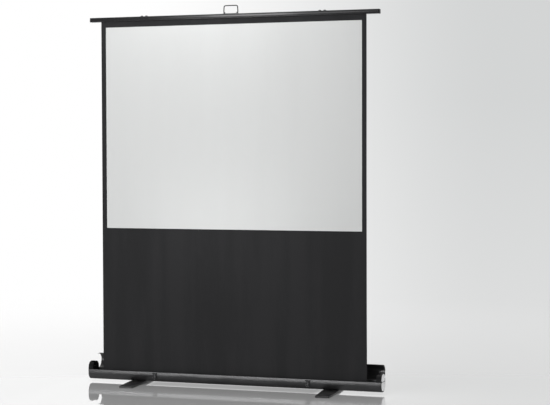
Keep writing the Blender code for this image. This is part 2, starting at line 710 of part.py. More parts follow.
def make_handle():
    """Wire bail in two ears on a plate, standing up; it folds back about the ears."""
    low = BAR_TOP_Z + SEAT_GAP
    half = HANDLE_PLATE_LENGTH / 2
    side_y = (HANDLE_Y - HANDLE_PLATE_DEPTH / 2, HANDLE_Y + HANDLE_PLATE_DEPTH / 2)
    outline = rounded_rectangle(-half, half, *side_y, HANDLE_PLATE_DEPTH / 4)
    plate = prism("handle_plate", "Z", outline, low, low + HANDLE_PLATE, BLACK_METAL)
    centre = (HANDLE_Y, ear_height())
    ear = [(HANDLE_Y + EAR_RADIUS, low + HANDLE_PLATE / 2)]
    ear += arc(centre, EAR_RADIUS, 0.0, math.pi, 8)
    ear.append((HANDLE_Y - EAR_RADIUS, low + HANDLE_PLATE / 2))
    for side, sign in SIDES.items():
        inner = HANDLE_SPAN / 2 - HANDLE_WIRE - RUNNING_GAP - EAR_THICKNESS
        tool = prism(f"handle_ear_{side}", "X", ear, sign * inner, sign * (inner + EAR_THICKNESS))
        join(plate, tool)
        reach = (sign * (inner - CUT_OVERRUN), sign * (inner + EAR_THICKNESS + CUT_OVERRUN))
        hole = rod_profile(HANDLE_WIRE + RUNNING_GAP, *reach)
        cut(plate, turned(f"handle_hole_{side}", "X", centre, hole, steps=SMALL_ROUND))
    tip = HANDLE_SPAN / 2 - HANDLE_WIRE - EAR_THICKNESS - HANDLE_WIRE
    top_z = BAR_TOP_Z + HANDLE_RISE - HANDLE_WIRE
    leg = HANDLE_SPAN / 2
    half_path = [(tip, centre[1])]
    half_path += arc((leg - HANDLE_BEND, centre[1] + HANDLE_BEND), HANDLE_BEND, -math.pi / 2, 0.0, 4)
    shoulder = (leg - HANDLE_FLARE - HANDLE_CORNER, top_z - HANDLE_CORNER)
    half_path += arc(shoulder, HANDLE_CORNER, 0.0, math.pi / 2, 6)
    path = [(x, HANDLE_Y, z) for x, z in half_path]
    path += [(-x, HANDLE_Y, z) for x, z in reversed(half_path)]
    bail = wire("handle_bail", path, HANDLE_WIRE, DARK_STEEL)
    set_origin(bail, (0.0, *centre))


def arm_outline():
    """Arm in its own frame: pivot holes at (0, 0) and (length, 0), round heads."""
    half = ARM_HEIGHT / 2
    lean = math.asin(half / ARM_HEAD_RADIUS)
    points = arc((0.0, 0.0), ARM_HEAD_RADIUS, lean, math.tau - lean, 12)
    points += arc((ARM_LENGTH, 0.0), ARM_HEAD_RADIUS, lean - math.pi, math.pi - lean, 12)
    return points


def pin_place(which, side):
    sign = SIDES[side]
    if which == "base":
        return (sign * ARM_X, ARM_PIVOT_Z)
    if which == "top":
        return (sign * ARM_X, ARM_TOP_Z)
    return (sign * (ARM_X - ARM_LENGTH * math.cos(ARM_REST_ANGLE)), (ARM_PIVOT_Z + ARM_TOP_Z) / 2)


def make_arm(level, side):
    """One channel-section link, from its lower pivot towards its upper one."""
    layer = ARM_LAYERS[f"{level}_{side}"]
    name = f"{level}_arm_{side}"
    sign = SIDES[side]
    start = pin_place("base" if level == "lower" else "elbow", side)
    lean = ARM_REST_ANGLE if level == "lower" else math.pi - ARM_REST_ANGLE
    if sign > 0:
        lean = math.pi - lean
    arm = prism(name, "Y", arm_outline(), layer, layer + ARM_THICKNESS, BLACK_METAL)
    inset = ARM_HEIGHT / 2 - ARM_FLANGE
    channel = rounded_rectangle(ARM_BOSS_LENGTH, ARM_LENGTH - ARM_BOSS_LENGTH, -inset, inset, inset / 2)
    tools = [prism(f"{name}_channel", "Y", channel, layer + ARM_WEB, layer + ARM_THICKNESS + CUT_OVERRUN)]
    ends = ["elbow", "base"] if level == "lower" else ["top", "elbow"]
    for end in ends:
        loose = OPEN_PIVOT_CLEARANCE if (end, side) == ("top", "right") else RUNNING_GAP
        x = ARM_LENGTH if end == ends[0] else 0.0
        hole = rod_profile(PIN_RADIUS + loose, layer - CUT_OVERRUN, layer + ARM_THICKNESS + CUT_OVERRUN)
        tools.append(turned(f"{name}_{end}_hole", "Y", (x, 0.0), hole))
    for tool in tools:
        cut(arm, tool)
        tool.parent = arm
    arm.location = (start[0], 0.0, start[1])
    arm.rotation_euler.y = -lean


def make_pin(name, spot, head_y, end_y):
    """Pivot pin along Y with a flat head at head_y and its far end flush at end_y."""
    toward = math.copysign(1.0, end_y - head_y)
    neck = head_y + toward * PIN_HEAD
    profile = [(0.0, head_y), (PIN_HEAD_RADIUS, head_y), (PIN_HEAD_RADIUS, neck)]
    profile += [(PIN_RADIUS, neck), (PIN_RADIUS, end_y), (0.0, end_y)]
    turned(name, "Y", spot, profile, STEEL)


def make_pins():
    """Pins, each headed on its free side and flush on the side that other arms pass."""
    fronts = ARM_LAYERS
    backs = {layer: start + ARM_THICKNESS for layer, start in ARM_LAYERS.items()}
    under_head = SEAT_GAP + PIN_HEAD
    ends = {
        ("base", "left"): (ear_spans("base", "left")[0] - under_head, backs["lower_left"]),
        ("base", "right"): (ear_spans("base", "right")[1] + under_head, fronts["lower_right"]),
        ("elbow", "left"): (fronts["lower_left"] - under_head, backs["upper_left"]),
        ("elbow", "right"): (backs["lower_right"] + under_head, fronts["upper_right"]),
        ("top", "left"): (ear_spans("top", "left")[1] + under_head, fronts["upper_left"]),
        ("top", "right"): (ear_spans("top", "right")[0] - under_head, backs["upper_right"]),
    }
    for (which, side), (head_y, end_y) in ends.items():
        make_pin(f"{which}_pin_{side}", pin_place(which, side), head_y, end_y)
    for side, behind in (("left", "upper_left"), ("right", "lower_right")):
        middle = fronts[behind] - LAYER_GAP / 2
        spread = WASHER_THICKNESS / 2
        ring = tube_profile(PIN_RADIUS + RUNNING_GAP, WASHER_RADIUS, middle - spread, middle + spread)
        turned(f"elbow_washer_{side}", "Y", pin_place("elbow", side), ring, STEEL)


def ear_spans(which, side):
    """Front and back of the bracket ear that carries a pivot, in Y."""
    if which == "base" and side == "left":
        back = ARM_LAYERS["lower_left"] - RUNNING_GAP
        return (back - PLATE, back)
    if which == "base":
        front = ARM_LAYERS["lower_right"] + ARM_THICKNESS + RUNNING_GAP
        return (front, front + PLATE)
    if side == "left":
        front = ARM_LAYERS["upper_left"] + ARM_THICKNESS + RUNNING_GAP
        return (front, front + PLATE)
    back = ARM_LAYERS["upper_right"] - RUNNING_GAP
    return (back - PLATE, back)


def make_base_bracket(side, sign):
    """Block on the case floor behind the roller, with the ear of the lower arm."""
    name = f"base_bracket_{side}"
    low_y, high_y = ear_spans("base", side)
    near = ARM_X + BLOCK_TO_PIVOT
    top = ARM_PIVOT_Z + ARM_HEIGHT / 2 - SEAT_GAP
    block_x = (sign * near, sign * (near + BLOCK_WIDTH))
    floor = CASE_LOW_Z
    post = rectangle(BLOCK_FRONT_Y, BLOCK_REAR_Y, floor, top)
    bracket = prism(name, "X", post, *block_x, DARK_STEEL)
    bridge_low = ARM_PIVOT_Z - ARM_HEIGHT / 2
    bridge = rectangle(low_y, BLOCK_FRONT_Y + PLATE, bridge_low, top)
    join(bracket, prism(f"{name}_bridge", "X", bridge, *block_x))
    pivot = pin_place("base", side)
    half = ARM_HEIGHT / 2 - SEAT_GAP
    turn = math.pi / 2
    nose = arc((-pivot[0] * sign, pivot[1]), half, -turn, turn, 8)
    reach = -(near + PLATE)
    ear = [(reach, pivot[1] - half)] + nose + [(reach, pivot[1] + half)]
    ear = [(-u * sign, v) for u, v in ear]
    join(bracket, prism(f"{name}_ear", "Y", ear, low_y, high_y))
    hole = rod_profile(PIN_RADIUS + SEAT_GAP, low_y - CUT_OVERRUN, high_y + CUT_OVERRUN)
    cut(bracket, turned(f"{name}_hole", "Y", pivot, hole))
    room = case_ring(CASE_WALL + SEAT_GAP)
    keep_inside(bracket, prism(f"{name}_room", "X", room, sign * ARM_X / 2, sign * HALF_CASE))


def make_top_bracket(side, sign):
    """Ear under the bar with a head that sits in the bar's tee slot."""
    name = f"top_bracket_{side}"
    low_y, high_y = ear_spans("top", side)
    pivot = pin_place("top", side)
    head_low = tee_low() + SEAT_GAP
    half = TOP_EAR_WIDTH / 2
    half_turn = math.pi
    ear = arc(pivot, half, half_turn, 2 * half_turn, 12)
    head_top = tee_low() + TEE_HEIGHT - SEAT_GAP
    ear_top = (head_low + head_top) / 2
    ear += [(pivot[0] + half, ear_top), (pivot[0] - half, ear_top)]
    bracket = prism(name, "Y", ear, low_y, high_y, DARK_STEEL)
    long_half = TOP_HEAD_LENGTH / 2
    side_y = (TEE_Y - TEE_WIDTH / 2 + SEAT_GAP, TEE_Y + TEE_WIDTH / 2 - SEAT_GAP)
    head = rectangle(pivot[0] - long_half, pivot[0] + long_half, *side_y)
    join(bracket, prism(f"{name}_head", "Z", head, head_low, head_top))
    hole = rod_profile(PIN_RADIUS + SEAT_GAP, low_y - CUT_OVERRUN, high_y + CUT_OVERRUN)
    cut(bracket, turned(f"{name}_hole", "Y", pivot, hole))
    for end, x in zip(("outer", "inner"), screw_places(sign)):
        bore = rod_profile(TOP_SCREW_RADIUS + SEAT_GAP, head_top - TOP_SCREW_BITE, head_top + CUT_OVERRUN)
        cut(bracket, turned(f"{name}_bore_{end}", "Z", (x, TEE_Y), bore, steps=SMALL_ROUND))
        low = BAR_TOP_Z + SEAT_GAP
        top = low + TOP_SCREW_HEAD
        tip = head_top - TOP_SCREW_BITE + SEAT_GAP
        rim = TOP_SCREW_HEAD_RADIUS
        shape = [(0.0, tip), (TOP_SCREW_RADIUS, tip), (TOP_SCREW_RADIUS, low), (rim, low)]
        shape += [(rim, low + TOP_SCREW_HEAD / 2), (rim - TOP_SCREW_HEAD / 2, top), (0.0, top)]
        turned(f"bracket_screw_{side}_{end}", "Z", (x, TEE_Y), shape, DARK_STEEL, SMALL_ROUND)


def foot_point(x, u, v):
    """A point of a foot that is turned a little about its pivot at x."""
    c = math.cos(FOOT_TURN)
    s = math.sin(FOOT_TURN)
    return (x + u * c - v * s, u * s + v * c)


def make_foot(side, sign):
    """Flat tapered foot that turns under the case, with two pads and its pivot pin."""
    x = sign * FOOT_X
    mid = FOOT_MID_WIDTH / 2
    tip = FOOT_TIP_WIDTH / 2
    quarter = math.pi / 2
    right = arc((tip - FOOT_CORNER, -FOOT_REACH + FOOT_CORNER), FOOT_CORNER, -quarter, 0.0, 4)
    right.append((mid, 0.0))
    right += arc((tip - FOOT_CORNER, FOOT_REACH - FOOT_CORNER), FOOT_CORNER, 0.0, quarter, 4)
    outline = [foot_point(x, u, v) for u, v in right]
    outline += [foot_point(x, -u, v) for u, v in reversed(right)]
    foot = prism(f"foot_{side}", "Z", outline, FOOT_LOW_Z, FOOT_TOP_Z, BLACK_PLASTIC)
    soften(foot, FOOT_EDGE, FOOT_EDGE_STEPS)
    sink = FOOT_LOW_Z + FOOT_PIN_HEAD + RUNNING_GAP
    head_hole = rod_profile(FOOT_PIN_HEAD_RADIUS + RUNNING_GAP, FLOOR_Z - CUT_OVERRUN, sink)
    cut(foot, turned(f"foot_head_hole_{side}", "Z", (x, 0.0), head_hole))
    shank_hole = rod_profile(FOOT_PIN_RADIUS + RUNNING_GAP, FLOOR_Z, FOOT_TOP_Z + CUT_OVERRUN)
    cut(foot, turned(f"foot_shank_hole_{side}", "Z", (x, 0.0), shank_hole))
    for end, spot in (("front", -1), ("rear", 1)):
        middle = foot_point(x, 0.0, spot * (FOOT_REACH - PAD_INSET))
        seat = rod_profile(PAD_RADIUS + SEAT_GAP, FLOOR_Z - CUT_OVERRUN, FOOT_LOW_Z + PAD_THICKNESS)
        cut(foot, turned(f"pad_seat_{side}_{end}", "Z", middle, seat))
        pad = rod_profile(PAD_RADIUS, FLOOR_Z, FOOT_LOW_Z + PAD_THICKNESS - SEAT_GAP)
        turned(f"foot_pad_{side}_{end}", "Z", middle, pad, RUBBER)
    inner_floor = case_floor_z(CASE_WALL, FOOT_PIN_HEAD_RADIUS) + SEAT_GAP
    low = FOOT_LOW_Z
    neck = low + FOOT_PIN_HEAD
    upper = inner_floor + FOOT_PIN_HEAD
    head = FOOT_PIN_HEAD_RADIUS
    profile = [(0.0, low), (head, low), (head, neck), (FOOT_PIN_RADIUS, neck)]
    profile += [(FOOT_PIN_RADIUS, inner_floor), (head, inner_floor), (head, upper), (0.0, upper)]
    turned(f"foot_pin_{side}", "Z", (x, 0.0), profile, STEEL, SMALL_ROUND)


def make_latch(side, sign):
    """Over-centre latch, open: base plate, hanging lever and hanging wire loop."""
    x = sign * LATCH_X
    half = LATCH_WIDTH / 2
    back = front_skin(SEAT_GAP, LATCH_LOW_Z, LATCH_TOP_Z)
    outline = back + [(y - LATCH_PLATE, z) for y, z in reversed(back)]
    base = prism(f"latch_base_{side}", "X", outline, x - half, x + half, DARK_STEEL)
    pivot = (-CASE_DEPTH / 2 - LATCH_KNUCKLE_OUT, LATCH_TOP_Z - LATCH_KNUCKLE)
    ear = arc(pivot, LATCH_KNUCKLE, math.pi / 2, math.pi * 3 / 2, 6)
    wall_y = -CASE_DEPTH / 2 - LATCH_PLATE / 2
    ear = [(wall_y, pivot[1] + LATCH_KNUCKLE)] + ear + [(wall_y, pivot[1] - LATCH_KNUCKLE)]
    for end, spot in (("a", -1), ("b", 1)):
        inner = x + spot * (half - LATCH_EAR)
        outer = x + spot * half
        join(base, prism(f"latch_ear_{side}_{end}", "X", ear, inner, outer))
    pin_radius = LATCH_KNUCKLE / 2
    bore = rod_profile(pin_radius + RUNNING_GAP, x - half - CUT_OVERRUN, x + half + CUT_OVERRUN)
    cut(base, turned(f"latch_bore_{side}", "X", pivot, bore, steps=SMALL_ROUND))
    lever_half = LEVER_WIDTH / 2
    lever_out = pivot[0] - LATCH_KNUCKLE / 2
    plate = rectangle(lever_out, lever_out + LEVER_THICKNESS, pivot[1] - LEVER_LENGTH, pivot[1])
    tip = LEVER_LENGTH * LEVER_TIP_SHARE
    plate[0] = (lever_out - LEVER_THICKNESS, plate[0][1])
    plate[1] = (lever_out, plate[1][1])
    plate.insert(2, (lever_out + LEVER_THICKNESS, plate[1][1] + tip))
    plate.append((lever_out, plate[0][1] + tip))
    lever = prism(f"latch_lever_{side}", "X", plate, x - lever_half, x + lever_half, DARK_STEEL)
    knuckle = circle(pivot, LATCH_KNUCKLE - RUNNING_GAP)
    barrel_tool = prism(f"latch_barrel_{side}", "X", knuckle, x - lever_half, x + lever_half)
    join(lever, barrel_tool)
    pin = rod_profile(pin_radius, x - half, x + half)
    axle = turned(f"latch_axle_{side}", "X", pivot, pin, steps=SMALL_ROUND)
    join(lever, axle)
    wire_spot = (lever_out - LEVER_THICKNESS - SEAT_GAP - LOOP_WIRE, pivot[1] - LOOP_DROP)
    reach = LOOP_WIRE + RUNNING_GAP + LUG_WALL
    lug = arc(wire_spot, reach, math.pi / 2, math.pi * 3 / 2, 6)
    root_y = lever_out + LEVER_THICKNESS / 2
    lug += [(root_y, wire_spot[1] - reach), (root_y, wire_spot[1] + reach)]
    lug_tool = prism(f"latch_lug_{side}", "X", lug, x - LUG_WIDTH / 2, x + LUG_WIDTH / 2)
    join(lever, lug_tool)
    hole = rod_profile(LOOP_WIRE + RUNNING_GAP, x - LUG_WIDTH, x + LUG_WIDTH)
    hole_tool = turned(f"latch_lug_hole_{side}", "X", wire_spot, hole, steps=SMALL_ROUND)
    cut(lever, hole_tool)
    for piece in (lever, barrel_tool, axle, lug_tool, hole_tool):
        set_origin(piece, (x, *pivot))
    make_loop(side, x, *wire_spot)


def make_loop(side, x, y, pivot_z):
    """Closed wire loop hanging in front of the lever, its top side through the lever's lug."""
    half = LOOP_WIDTH / 2 - LOOP_WIRE
    corner = LOOP_CORNER
    low = pivot_z - LOOP_LENGTH + 2 * LOOP_WIRE
    path = rounded_rectangle(x - half, x + half, low, pivot_z, corner, 3)
    loop = wire(f"latch_loop_{side}", [(u, y, v) for u, v in path], LOOP_WIRE, STEEL, cyclic=True)
    set_origin(loop, (x, y, pivot_z))


def build():
    clear_scene()
    make_shell()
    make_lid()
    make_hinge_rod()
    make_roller()
    make_cloth()
    make_bar()
    make_handle()
    for side, sign in SIDES.items():
        make_end_cap(side, sign)
        make_end_cover(side, sign)
        make_bar_plug(side, sign)
        make_arm("lower", side)
        make_arm("upper", side)
        make_base_bracket(side, sign)
        make_top_bracket(side, sign)
        make_foot(side, sign)
        make_latch(side, sign)
    make_pins()


build()
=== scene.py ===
import json
import math

import bmesh
import bpy
import numpy as np
from mathutils import Matrix, Vector


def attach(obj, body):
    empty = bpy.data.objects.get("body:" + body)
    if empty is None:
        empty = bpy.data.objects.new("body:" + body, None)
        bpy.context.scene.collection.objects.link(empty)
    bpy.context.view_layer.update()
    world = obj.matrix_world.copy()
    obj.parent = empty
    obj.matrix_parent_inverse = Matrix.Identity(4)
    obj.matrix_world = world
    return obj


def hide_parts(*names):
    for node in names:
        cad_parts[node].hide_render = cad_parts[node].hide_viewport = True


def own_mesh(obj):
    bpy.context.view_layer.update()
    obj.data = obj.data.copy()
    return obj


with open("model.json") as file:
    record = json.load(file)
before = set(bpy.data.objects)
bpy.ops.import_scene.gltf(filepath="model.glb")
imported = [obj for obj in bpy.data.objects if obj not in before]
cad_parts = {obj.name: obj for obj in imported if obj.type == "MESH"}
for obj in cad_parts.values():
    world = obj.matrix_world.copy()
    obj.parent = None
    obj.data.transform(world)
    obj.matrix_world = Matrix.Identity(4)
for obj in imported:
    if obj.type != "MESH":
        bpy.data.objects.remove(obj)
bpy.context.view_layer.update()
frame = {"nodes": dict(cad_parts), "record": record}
nodes = frame["nodes"]
bodyOfNode = {n: body for body, names in frame["record"]["behaviour"]["bodies"].items() for n in names}
print("frame loaded,", len(nodes), "nodes")

# camera, solved from the picture's corners and the case's edges
cameraLook = {
    "place": (3.4293, -8.9257, 1.4092),
    "yaw": 19.508143,  # degrees to the left, seen from above
    "pitch": -1.926419,
    "roll": -0.188395,
    "lens": 106.786,
    "sensor": 36.0,
    "farthest": 200.0,
}


def placeObject(name, data):
    thing = bpy.data.objects.new(name, data)
    bpy.context.scene.collection.objects.link(thing)
    return thing


def makeCamera(look):
    # forward comes from yaw and pitch, and the roll turns right and up about it
    yaw, pitch, roll = (math.radians(look[k]) for k in ("yaw", "pitch", "roll"))
    forward = Vector((-math.sin(yaw) * math.cos(pitch), math.cos(yaw) * math.cos(pitch), math.sin(pitch)))
    level = Vector((math.cos(yaw), math.sin(yaw), 0.0))
    rise = level.cross(forward)
    right = math.cos(roll) * level + math.sin(roll) * rise
    up = math.cos(roll) * rise - math.sin(roll) * level
    data = bpy.data.cameras.new("studioCamera")
    data.lens = look["lens"]
    data.sensor_width = look["sensor"]
    data.clip_end = look["farthest"]
    camera = placeObject("studioCamera", data)
    turn = Matrix((right, up, -forward)).transposed().to_4x4()
    camera.matrix_world = Matrix.Translation(look["place"]) @ turn
    bpy.context.scene.camera = camera


makeCamera(cameraLook)
print("camera set")


# node helpers: most return their result's socket or their node's outputs
def addNode(tree, kind, **settings):
    node = tree.nodes.new(kind)
    for key, value in settings.items():
        setattr(node, key, value)
    return node


def feed(tree, value, socket):
    # a socket is linked, anything else is set as the value
    if isinstance(value, bpy.types.NodeSocket):
        tree.links.new(value, socket)
    else:
        socket.default_value = value


def feedAll(tree, node, values):
    # the keys are the inputs' names or numbers
    for key, value in values.items():
        feed(tree, value, node.inputs[key])
    return node.outputs


def calc(tree, operation, *values, clamp=False):
    node = addNode(tree, "ShaderNodeMath", operation=operation, use_clamp=clamp)
    return feedAll(tree, node, dict(enumerate(values)))[0]


def vectorCalc(tree, operation, *values):
    node = addNode(tree, "ShaderNodeVectorMath", operation=operation)
    outputs = feedAll(tree, node, dict(enumerate(values)))
    return outputs["Value" if operation in ("DOT_PRODUCT", "LENGTH") else "Vector"]


def ramp(tree, value, low, high, toLow=0.0, toHigh=1.0, smooth=True):
    node = addNode(tree, "ShaderNodeMapRange", interpolation_type="SMOOTHSTEP" if smooth else "LINEAR")
    return feedAll(tree, node, dict(enumerate((value, low, high, toLow, toHigh))))[0]


def blendColour(tree, share, first, second):
    # the colours are this node's inputs 6 and 7 and its output 2
    node = addNode(tree, "ShaderNodeMix", data_type="RGBA")
    return feedAll(tree, node, {0: share, 6: first, 7: second})[2]


def splitVector(tree, vector):
    return feedAll(tree, addNode(tree, "ShaderNodeSeparateXYZ"), {0: vector})


def joinVector(tree, *values):
    return feedAll(tree, addNode(tree, "ShaderNodeCombineXYZ"), dict(enumerate(values)))[0]


def noise(tree, vector, scale, detail, roughness=0.5):
    values = {"Vector": vector, "Scale": scale, "Detail": detail, "Roughness": roughness}
    return feedAll(tree, addNode(tree, "ShaderNodeTexNoise"), values)["Fac"]


def opaque(colour):
    return (*colour, 1.0)


def newGroup(name, takes, gives):
    # a group takes a vector, then numbers with their first values, and gives numbers
    group = bpy.data.node_groups.new(name, "ShaderNodeTree")
    group.interface.new_socket("Vector", in_out="INPUT", socket_type="NodeSocketVector")
    for label, value in takes.items():
        socket = group.interface.new_socket(label, in_out="INPUT", socket_type="NodeSocketFloat")
        socket.default_value = value
    for label in gives:
        group.interface.new_socket(label, in_out="OUTPUT", socket_type="NodeSocketFloat")
    return group, addNode(group, "NodeGroupInput").outputs, addNode(group, "NodeGroupOutput").inputs


def useGroup(tree, group, **values):
    return feedAll(tree, addNode(tree, "ShaderNodeGroup", node_tree=group), values)


patternLook = {
    "grain": {
        "size": 0.0006, "patch": 0.08, "finer": 4.0, "fineShare": 0.35, "detail": 1.0, "patchDetail": 3.0,
    },
    "drawLines": {"pitch": 0.0012, "stretch": 160.0, "detail": 3.0, "streakWidth": 9.0, "streakDetail": 2.0},
    "weave": {"pitch": 0.0007, "slubScale": 240.0, "slubStretch": 0.06, "slubDetail": 2.0},
    "edgeWear": {
        "reach": 0.0012, "amount": 0.4, "samples": 4, "turned": (0.99, 0.80),
        "breakScale": 130.0, "breakDetail": 4.0, "breaks": (0.42, 0.62),
    },
    "dust": {
        "amount": 0.2, "upward": (0.35, 1.0), "patchScale": 26.0, "detail": 6.0, "roughness": 0.65,
        "patches": (0.40, 0.75),
    },
}


def makeGrain(look):
    # two noises, the second several times finer, are the bump's height; patches drift over a hand's width
    takes = {"Size": look["size"], "Patch": look["patch"]}
    group, given, end = newGroup("grain", takes, ["Height", "Patches"])
    place = given["Vector"]
    coarse = noise(group, place, calc(group, "DIVIDE", 1.0, given["Size"]), look["detail"])
    fine = noise(group, place, calc(group, "DIVIDE", look["finer"], given["Size"]), look["detail"])
    coarse = calc(group, "MULTIPLY", coarse, 1.0 - look["fineShare"])
    feed(group, calc(group, "MULTIPLY_ADD", fine, look["fineShare"], coarse), end["Height"])
    patches = noise(group, place, calc(group, "DIVIDE", 1.0, given["Patch"]), look["patchDetail"])
    feed(group, patches, end["Patches"])
    return group


def makeDrawLines(look):
    # noise drawn out along X, as the die leaves on an extrusion
    takes = {"Pitch": look["pitch"], "Stretch": look["stretch"]}
    group, given, end = newGroup("drawLines", takes, ["Height", "Streaks"])
    x, y, z = splitVector(group, given["Vector"])
    drawn = joinVector(group, calc(group, "DIVIDE", x, given["Stretch"]), y, z)
    scale = calc(group, "DIVIDE", 1.0, given["Pitch"])
    feed(group, noise(group, drawn, scale, look["detail"]), end["Height"])
    wide = calc(group, "DIVIDE", scale, look["streakWidth"])
    feed(group, noise(group, drawn, wide, look["streakDetail"]), end["Streaks"])
    return group


def makeWeave(look):
    # plain weave: half waves across X and Z, and a chequer says which thread lies on top
    group, given, end = newGroup("weave", {"Pitch": look["pitch"]}, ["Height", "Slubs"])
    x, _, z = splitVector(group, given["Vector"])
    turn = calc(group, "DIVIDE", math.pi, given["Pitch"])
    warp = calc(group, "SINE", calc(group, "MULTIPLY", x, turn))
    weft = calc(group, "SINE", calc(group, "MULTIPLY", z, turn))
    onTop = calc(group, "GREATER_THAN", calc(group, "MULTIPLY", warp, weft), 0.0)
    warpHeight = calc(group, "MULTIPLY", calc(group, "ABSOLUTE", warp), onTop)
    weftHeight = calc(group, "MULTIPLY", calc(group, "ABSOLUTE", weft), calc(group, "SUBTRACT", 1.0, onTop))
    feed(group, calc(group, "ADD", warpHeight, weftHeight), end["Height"])
    long = joinVector(group, x, 0.0, calc(group, "MULTIPLY", z, look["slubStretch"]))
    feed(group, noise(group, long, look["slubScale"], look["slubDetail"]), end["Slubs"])
    return group


def makeEdgeWear(look):
    # the rounded normal turns away from the true one near an edge, and noise breaks the line up
    group, given, end = newGroup("edgeWear", {"Reach": look["reach"], "Amount": look["amount"]}, ["Mask"])
    soft = addNode(group, "ShaderNodeBevel", samples=look["samples"])
    soft = feedAll(group, soft, {"Radius": given["Reach"]})["Normal"]
    true = addNode(group, "ShaderNodeNewGeometry").outputs["Normal"]
    edge = ramp(group, vectorCalc(group, "DOT_PRODUCT", soft, true), *look["turned"])
    broken = noise(group, given["Vector"], look["breakScale"], look["breakDetail"])
    mask = calc(group, "MULTIPLY", edge, ramp(group, broken, *look["breaks"]))
    feed(group, calc(group, "MULTIPLY", mask, given["Amount"], clamp=True), end["Mask"])
    return group


def makeDust(look):
    # settles where a face looks up, in soft patches
    group, given, end = newGroup("dust", {"Amount": look["amount"]}, ["Mask"])
    z = splitVector(group, addNode(group, "ShaderNodeNewGeometry").outputs["Normal"])[2]
    patches = noise(group, given["Vector"], look["patchScale"], look["detail"], look["roughness"])
    mask = calc(group, "MULTIPLY", ramp(group, z, *look["upward"]), ramp(group, patches, *look["patches"]))
    feed(group, calc(group, "MULTIPLY", mask, given["Amount"], clamp=True), end["Mask"])
    return group


grain, drawLines = makeGrain(patternLook["grain"]), makeDrawLines(patternLook["drawLines"])
weave, edgeWear = makeWeave(patternLook["weave"]), makeEdgeWear(patternLook["edgeWear"])
dust = makeDust(patternLook["dust"])
print("node groups built")

# what most finishes share; roughness strays from roughLow to roughHigh over a span of the patches' noise
plainFinish = {
    "metallic": 0.0, "specular": 0.50, "pattern": "grain", "size": 0.0006, "bump": 0.05, "wear": 0.30,
    "dust": 0.04, "dustRough": 0.35, "roughLow": -0.04, "roughHigh": 0.05,
    "colourSpan": (0.3, 0.7), "roughSpan": (0.2, 0.8),
}
# one finish for each slot of the record, and one for the latch loops
finishLook = {
    "case_metal": {
        "colour": (0.040, 0.040, 0.042), "roughness": 0.31, "metallic": 0.42, "specular": 0.72,
        "size": 0.0011, "bump": 0.10, "drift": 0.18, "worn": (0.16, 0.16, 0.17), "wear": 0.25, "dust": 0.10,
    },
    "black_metal": {
        "colour": (0.024, 0.024, 0.026), "roughness": 0.23, "metallic": 0.40, "specular": 1.00,
        "pattern": "lines", "size": 0.0009,
        "bump": 0.08, "drift": 0.22, "worn": (0.26, 0.26, 0.27), "dust": 0.08,
    },
    "black_plastic": {
        "colour": (0.005, 0.005, 0.006), "roughness": 0.50, "specular": 0.16,
        "size": 0.0008, "bump": 0.22, "drift": 0.20, "worn": (0.06, 0.06, 0.06), "wear": 0.35, "dust": 0.12,
    },
    "foot_plastic": {
        "colour": (0.014, 0.014, 0.015), "roughness": 0.44, "specular": 0.42,
        "size": 0.0010, "bump": 0.20, "drift": 0.24, "worn": (0.07, 0.07, 0.07), "wear": 0.40, "dust": 0.18,
    },
    "grey_plastic": {
        "colour": (0.86, 0.86, 0.87), "roughness": 0.24, "metallic": 0.60,
        "size": 0.0008, "bump": 0.06, "drift": 0.05, "worn": (0.86, 0.86, 0.87), "wear": 0.25,
    },
    "bright_steel": {
        "colour": (0.42, 0.42, 0.43), "roughness": 0.30, "metallic": 1.0, "pattern": "lines",
        "drift": 0.10, "worn": (0.70, 0.70, 0.71),
    },
    "loop_steel": {
        "colour": (0.070, 0.070, 0.072), "roughness": 0.34, "metallic": 0.90, "pattern": "lines",
        "drift": 0.12, "worn": (0.30, 0.30, 0.31),
    },
    "dark_steel": {
        "colour": (0.030, 0.030, 0.032), "roughness": 0.42, "metallic": 0.40, "specular": 0.40,
        "bump": 0.08, "drift": 0.20, "worn": (0.40, 0.40, 0.41), "wear": 0.35, "dust": 0.06,
    },
    "plain_aluminium": {
        "colour": (0.62, 0.63, 0.64), "roughness": 0.36, "metallic": 1.0, "pattern": "lines",
        "size": 0.0010, "bump": 0.08, "drift": 0.08, "worn": (0.80, 0.80, 0.80), "wear": 0.20, "dust": 0.05,
    },
    "rubber": {
        "colour": (0.018, 0.018, 0.018), "roughness": 0.82, "specular": 0.30,
        "size": 0.0012, "bump": 0.25, "drift": 0.20, "worn": (0.05, 0.05, 0.05), "dust": 0.20,
    },
}
dustColour = (0.30, 0.29, 0.27)


def newMaterial(name):
    material = bpy.data.materials.new(name)
    material.use_nodes = True
    tree = material.node_tree
    where = addNode(tree, "ShaderNodeTexCoord").outputs["Object"]
    return material, tree, tree.nodes["Principled BSDF"], where


def strayed(tree, patches, shade, look):
    # colour follows the shade and roughness the patches, each between its two ends
    base = np.array(look["colour"])
    ends = opaque(base * (1 - look["drift"])), opaque(base * (1 + look["drift"]))
    colour = blendColour(tree, ramp(tree, shade, *look["colourSpan"]), *ends)
    ends = look["roughness"] + look["roughLow"], look["roughness"] + look["roughHigh"]
    return colour, ramp(tree, patches, *look["roughSpan"], *ends)


def feedShader(tree, shader, look, colour, rough, height, width):
    # the bump is a third as deep as its pattern is wide
    values = {"Strength": look["bump"], "Distance": width / 3, "Height": height}
    normal = feedAll(tree, addNode(tree, "ShaderNodeBump"), values)["Normal"]
    feedAll(tree, shader, {"Base Color": colour, "Roughness": rough, "Normal": normal,
                           "Metallic": look["metallic"], "Specular IOR Level": look["specular"]})


